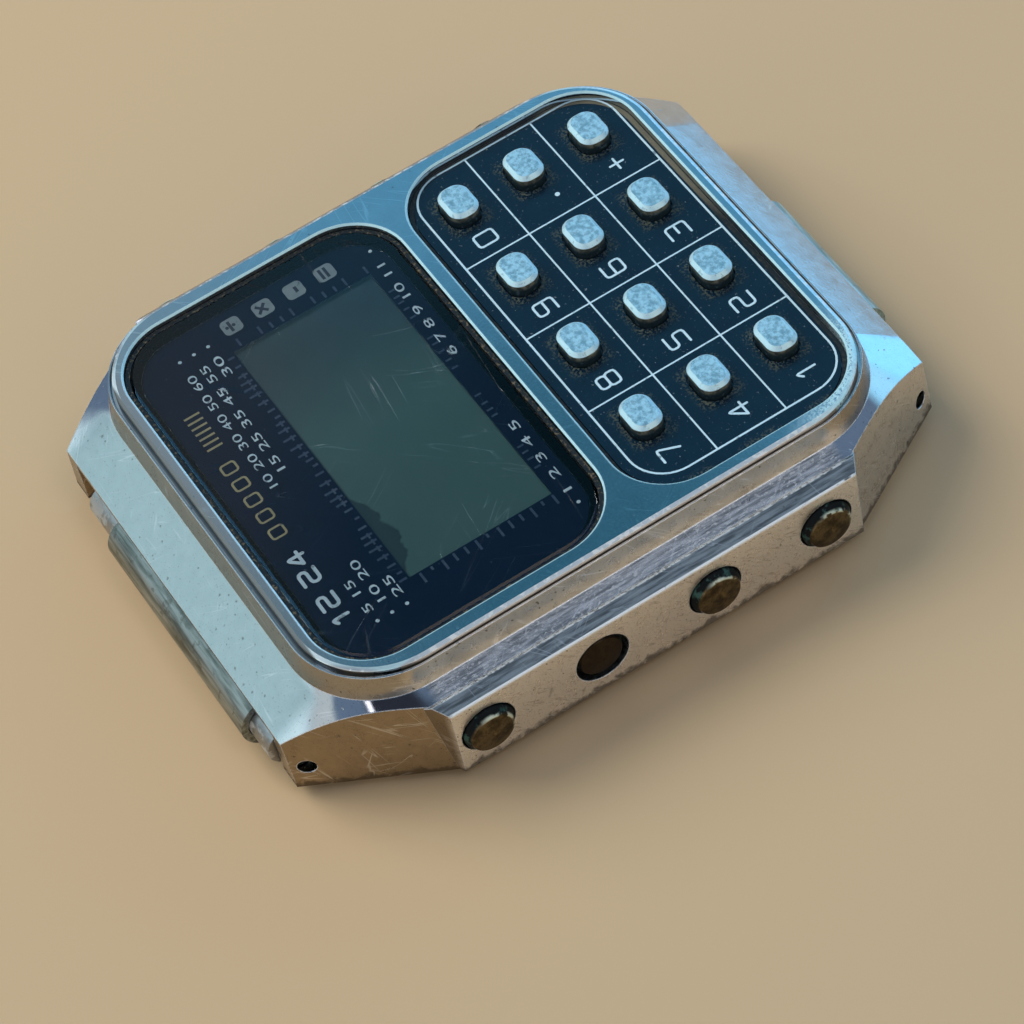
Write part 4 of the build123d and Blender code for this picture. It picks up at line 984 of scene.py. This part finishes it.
def dress_parts():
    """Gives every carried-over part its finish."""
    finishes = {
        "case_chrome": case_chrome(),
        "bezel_chrome": bezel_chrome(),
        "crystal_glass": crystal_glass(),
        "seal_rubber": seal_rubber(),
        "printed_film": dark_print("printed_film", (0.0004, 0.005, 0.024), (0.0008, 0.009, 0.034), False),
        "keypad_enamel": dark_print("keypad_enamel", (0.001, 0.007, 0.020), (0.002, 0.018, 0.036), True),
        "display_glass": display_glass(),
        "reflector_foil": plain_finish("reflector_foil", 1.0, (0.50, 0.52, 0.50), (0.68, 0.70, 0.68), 0.35),
        "mat_rubber": plain_finish("mat_rubber", 0.0, (0.22, 0.22, 0.22), (0.34, 0.34, 0.34), 0.6),
        "board_resin": plain_finish("board_resin", 0.0, (0.05, 0.20, 0.09), (0.10, 0.30, 0.14), 0.45),
        "steel_wire": steel_wire(),
        "back_steel": plain_finish("back_steel", 1.0, (0.50, 0.50, 0.50), (0.72, 0.72, 0.71), 0.26, 1.0,
                                   (0.2, 6.0, 1.0)),
        "module_plastic": plain_finish("module_plastic", 0.0, (0.05, 0.05, 0.055), (0.10, 0.10, 0.11), 0.5),
        "battery_steel": plain_finish("battery_steel", 1.0, (0.62, 0.62, 0.60), (0.80, 0.80, 0.78), 0.22),
        "worn_brass": worn_brass(),
        "lamp_glass": lamp_glass(),
        "key_metal": key_metal(),
        "link_steel": link_steel(),
    }
    for part in frame["record"]["subparts"]:
        mesh = frame["nodes"][part["node"]].data
        mesh.materials.clear()
        mesh.materials.append(finishes[part["material_slot"]])


def lay_floor():
    """Plain pale floor."""
    mesh = bpy.data.meshes.new("floor")
    shape = bmesh.new()
    bmesh.ops.create_grid(shape, x_segments=1, y_segments=1, size=1.2)
    shape.to_mesh(mesh)
    shape.free()
    floor = bpy.data.objects.new("floor", mesh)
    bpy.context.scene.collection.objects.link(floor)
    material = bpy.data.materials.new("floor_paint")
    tree, shader = tree_of(material)
    shader.inputs["Base Color"].default_value = FLOOR_TONE
    shader.inputs["Roughness"].default_value = 0.6
    mesh.materials.append(material)


def light_studio():
    """Sky with coloured windows, set for this camera's reflections, and one softbox."""
    world = bpy.data.worlds.new("studio")
    bpy.context.scene.world = world
    world.use_nodes = True
    tree = world.node_tree
    background = tree.nodes["Background"]
    coords = new_node(tree, "ShaderNodeTexCoord")
    sky = SKY_TONE
    for aim, inner, outer, tone in SKY_WINDOWS:
        meet = new_node(tree, "ShaderNodeVectorMath", operation="DOT_PRODUCT")
        feed(tree, meet.inputs[0], coords.outputs["Generated"])
        meet.inputs[1].default_value = Vector(aim).normalized()
        edge = math.cos(math.radians(outer))
        full = math.cos(math.radians(inner))
        inside = ramp(tree, meet.outputs["Value"], edge, full)
        sky = colours(tree, inside, sky, tone)
    feed(tree, background.inputs["Color"], sky)
    background.inputs["Strength"].default_value = 1.0
    box = bpy.data.lights.new("softbox", "AREA")
    box.shape = "DISK"
    box.size = SOFTBOX_WIDE
    box.energy = 3.0
    box.color = (1.0, 0.96, 0.88)
    lamp = bpy.data.objects.new("softbox", box)
    bpy.context.scene.collection.objects.link(lamp)
    turn = SOFTBOX_AIM.to_track_quat("Z", "Y").to_matrix().to_4x4()
    lamp.matrix_world = Matrix.Translation(SOFTBOX_AWAY * SOFTBOX_AIM) @ turn
    lamp.visible_glossy = False


groups = {
    "speckle": speckle_group(),
    "scratches": scratch_group(),
    "pits": pit_group(),
    "edge_turn": edge_group(),
}
bpy.context.scene.view_settings.view_transform = "Standard"
place_camera()
dress_parts()
keypad_print()
dial_ground()
dial_numbers()
dial_gold()
dial_signs()
dial_comb()
lay_floor()
light_studio()

bpy.context.view_layer.update()
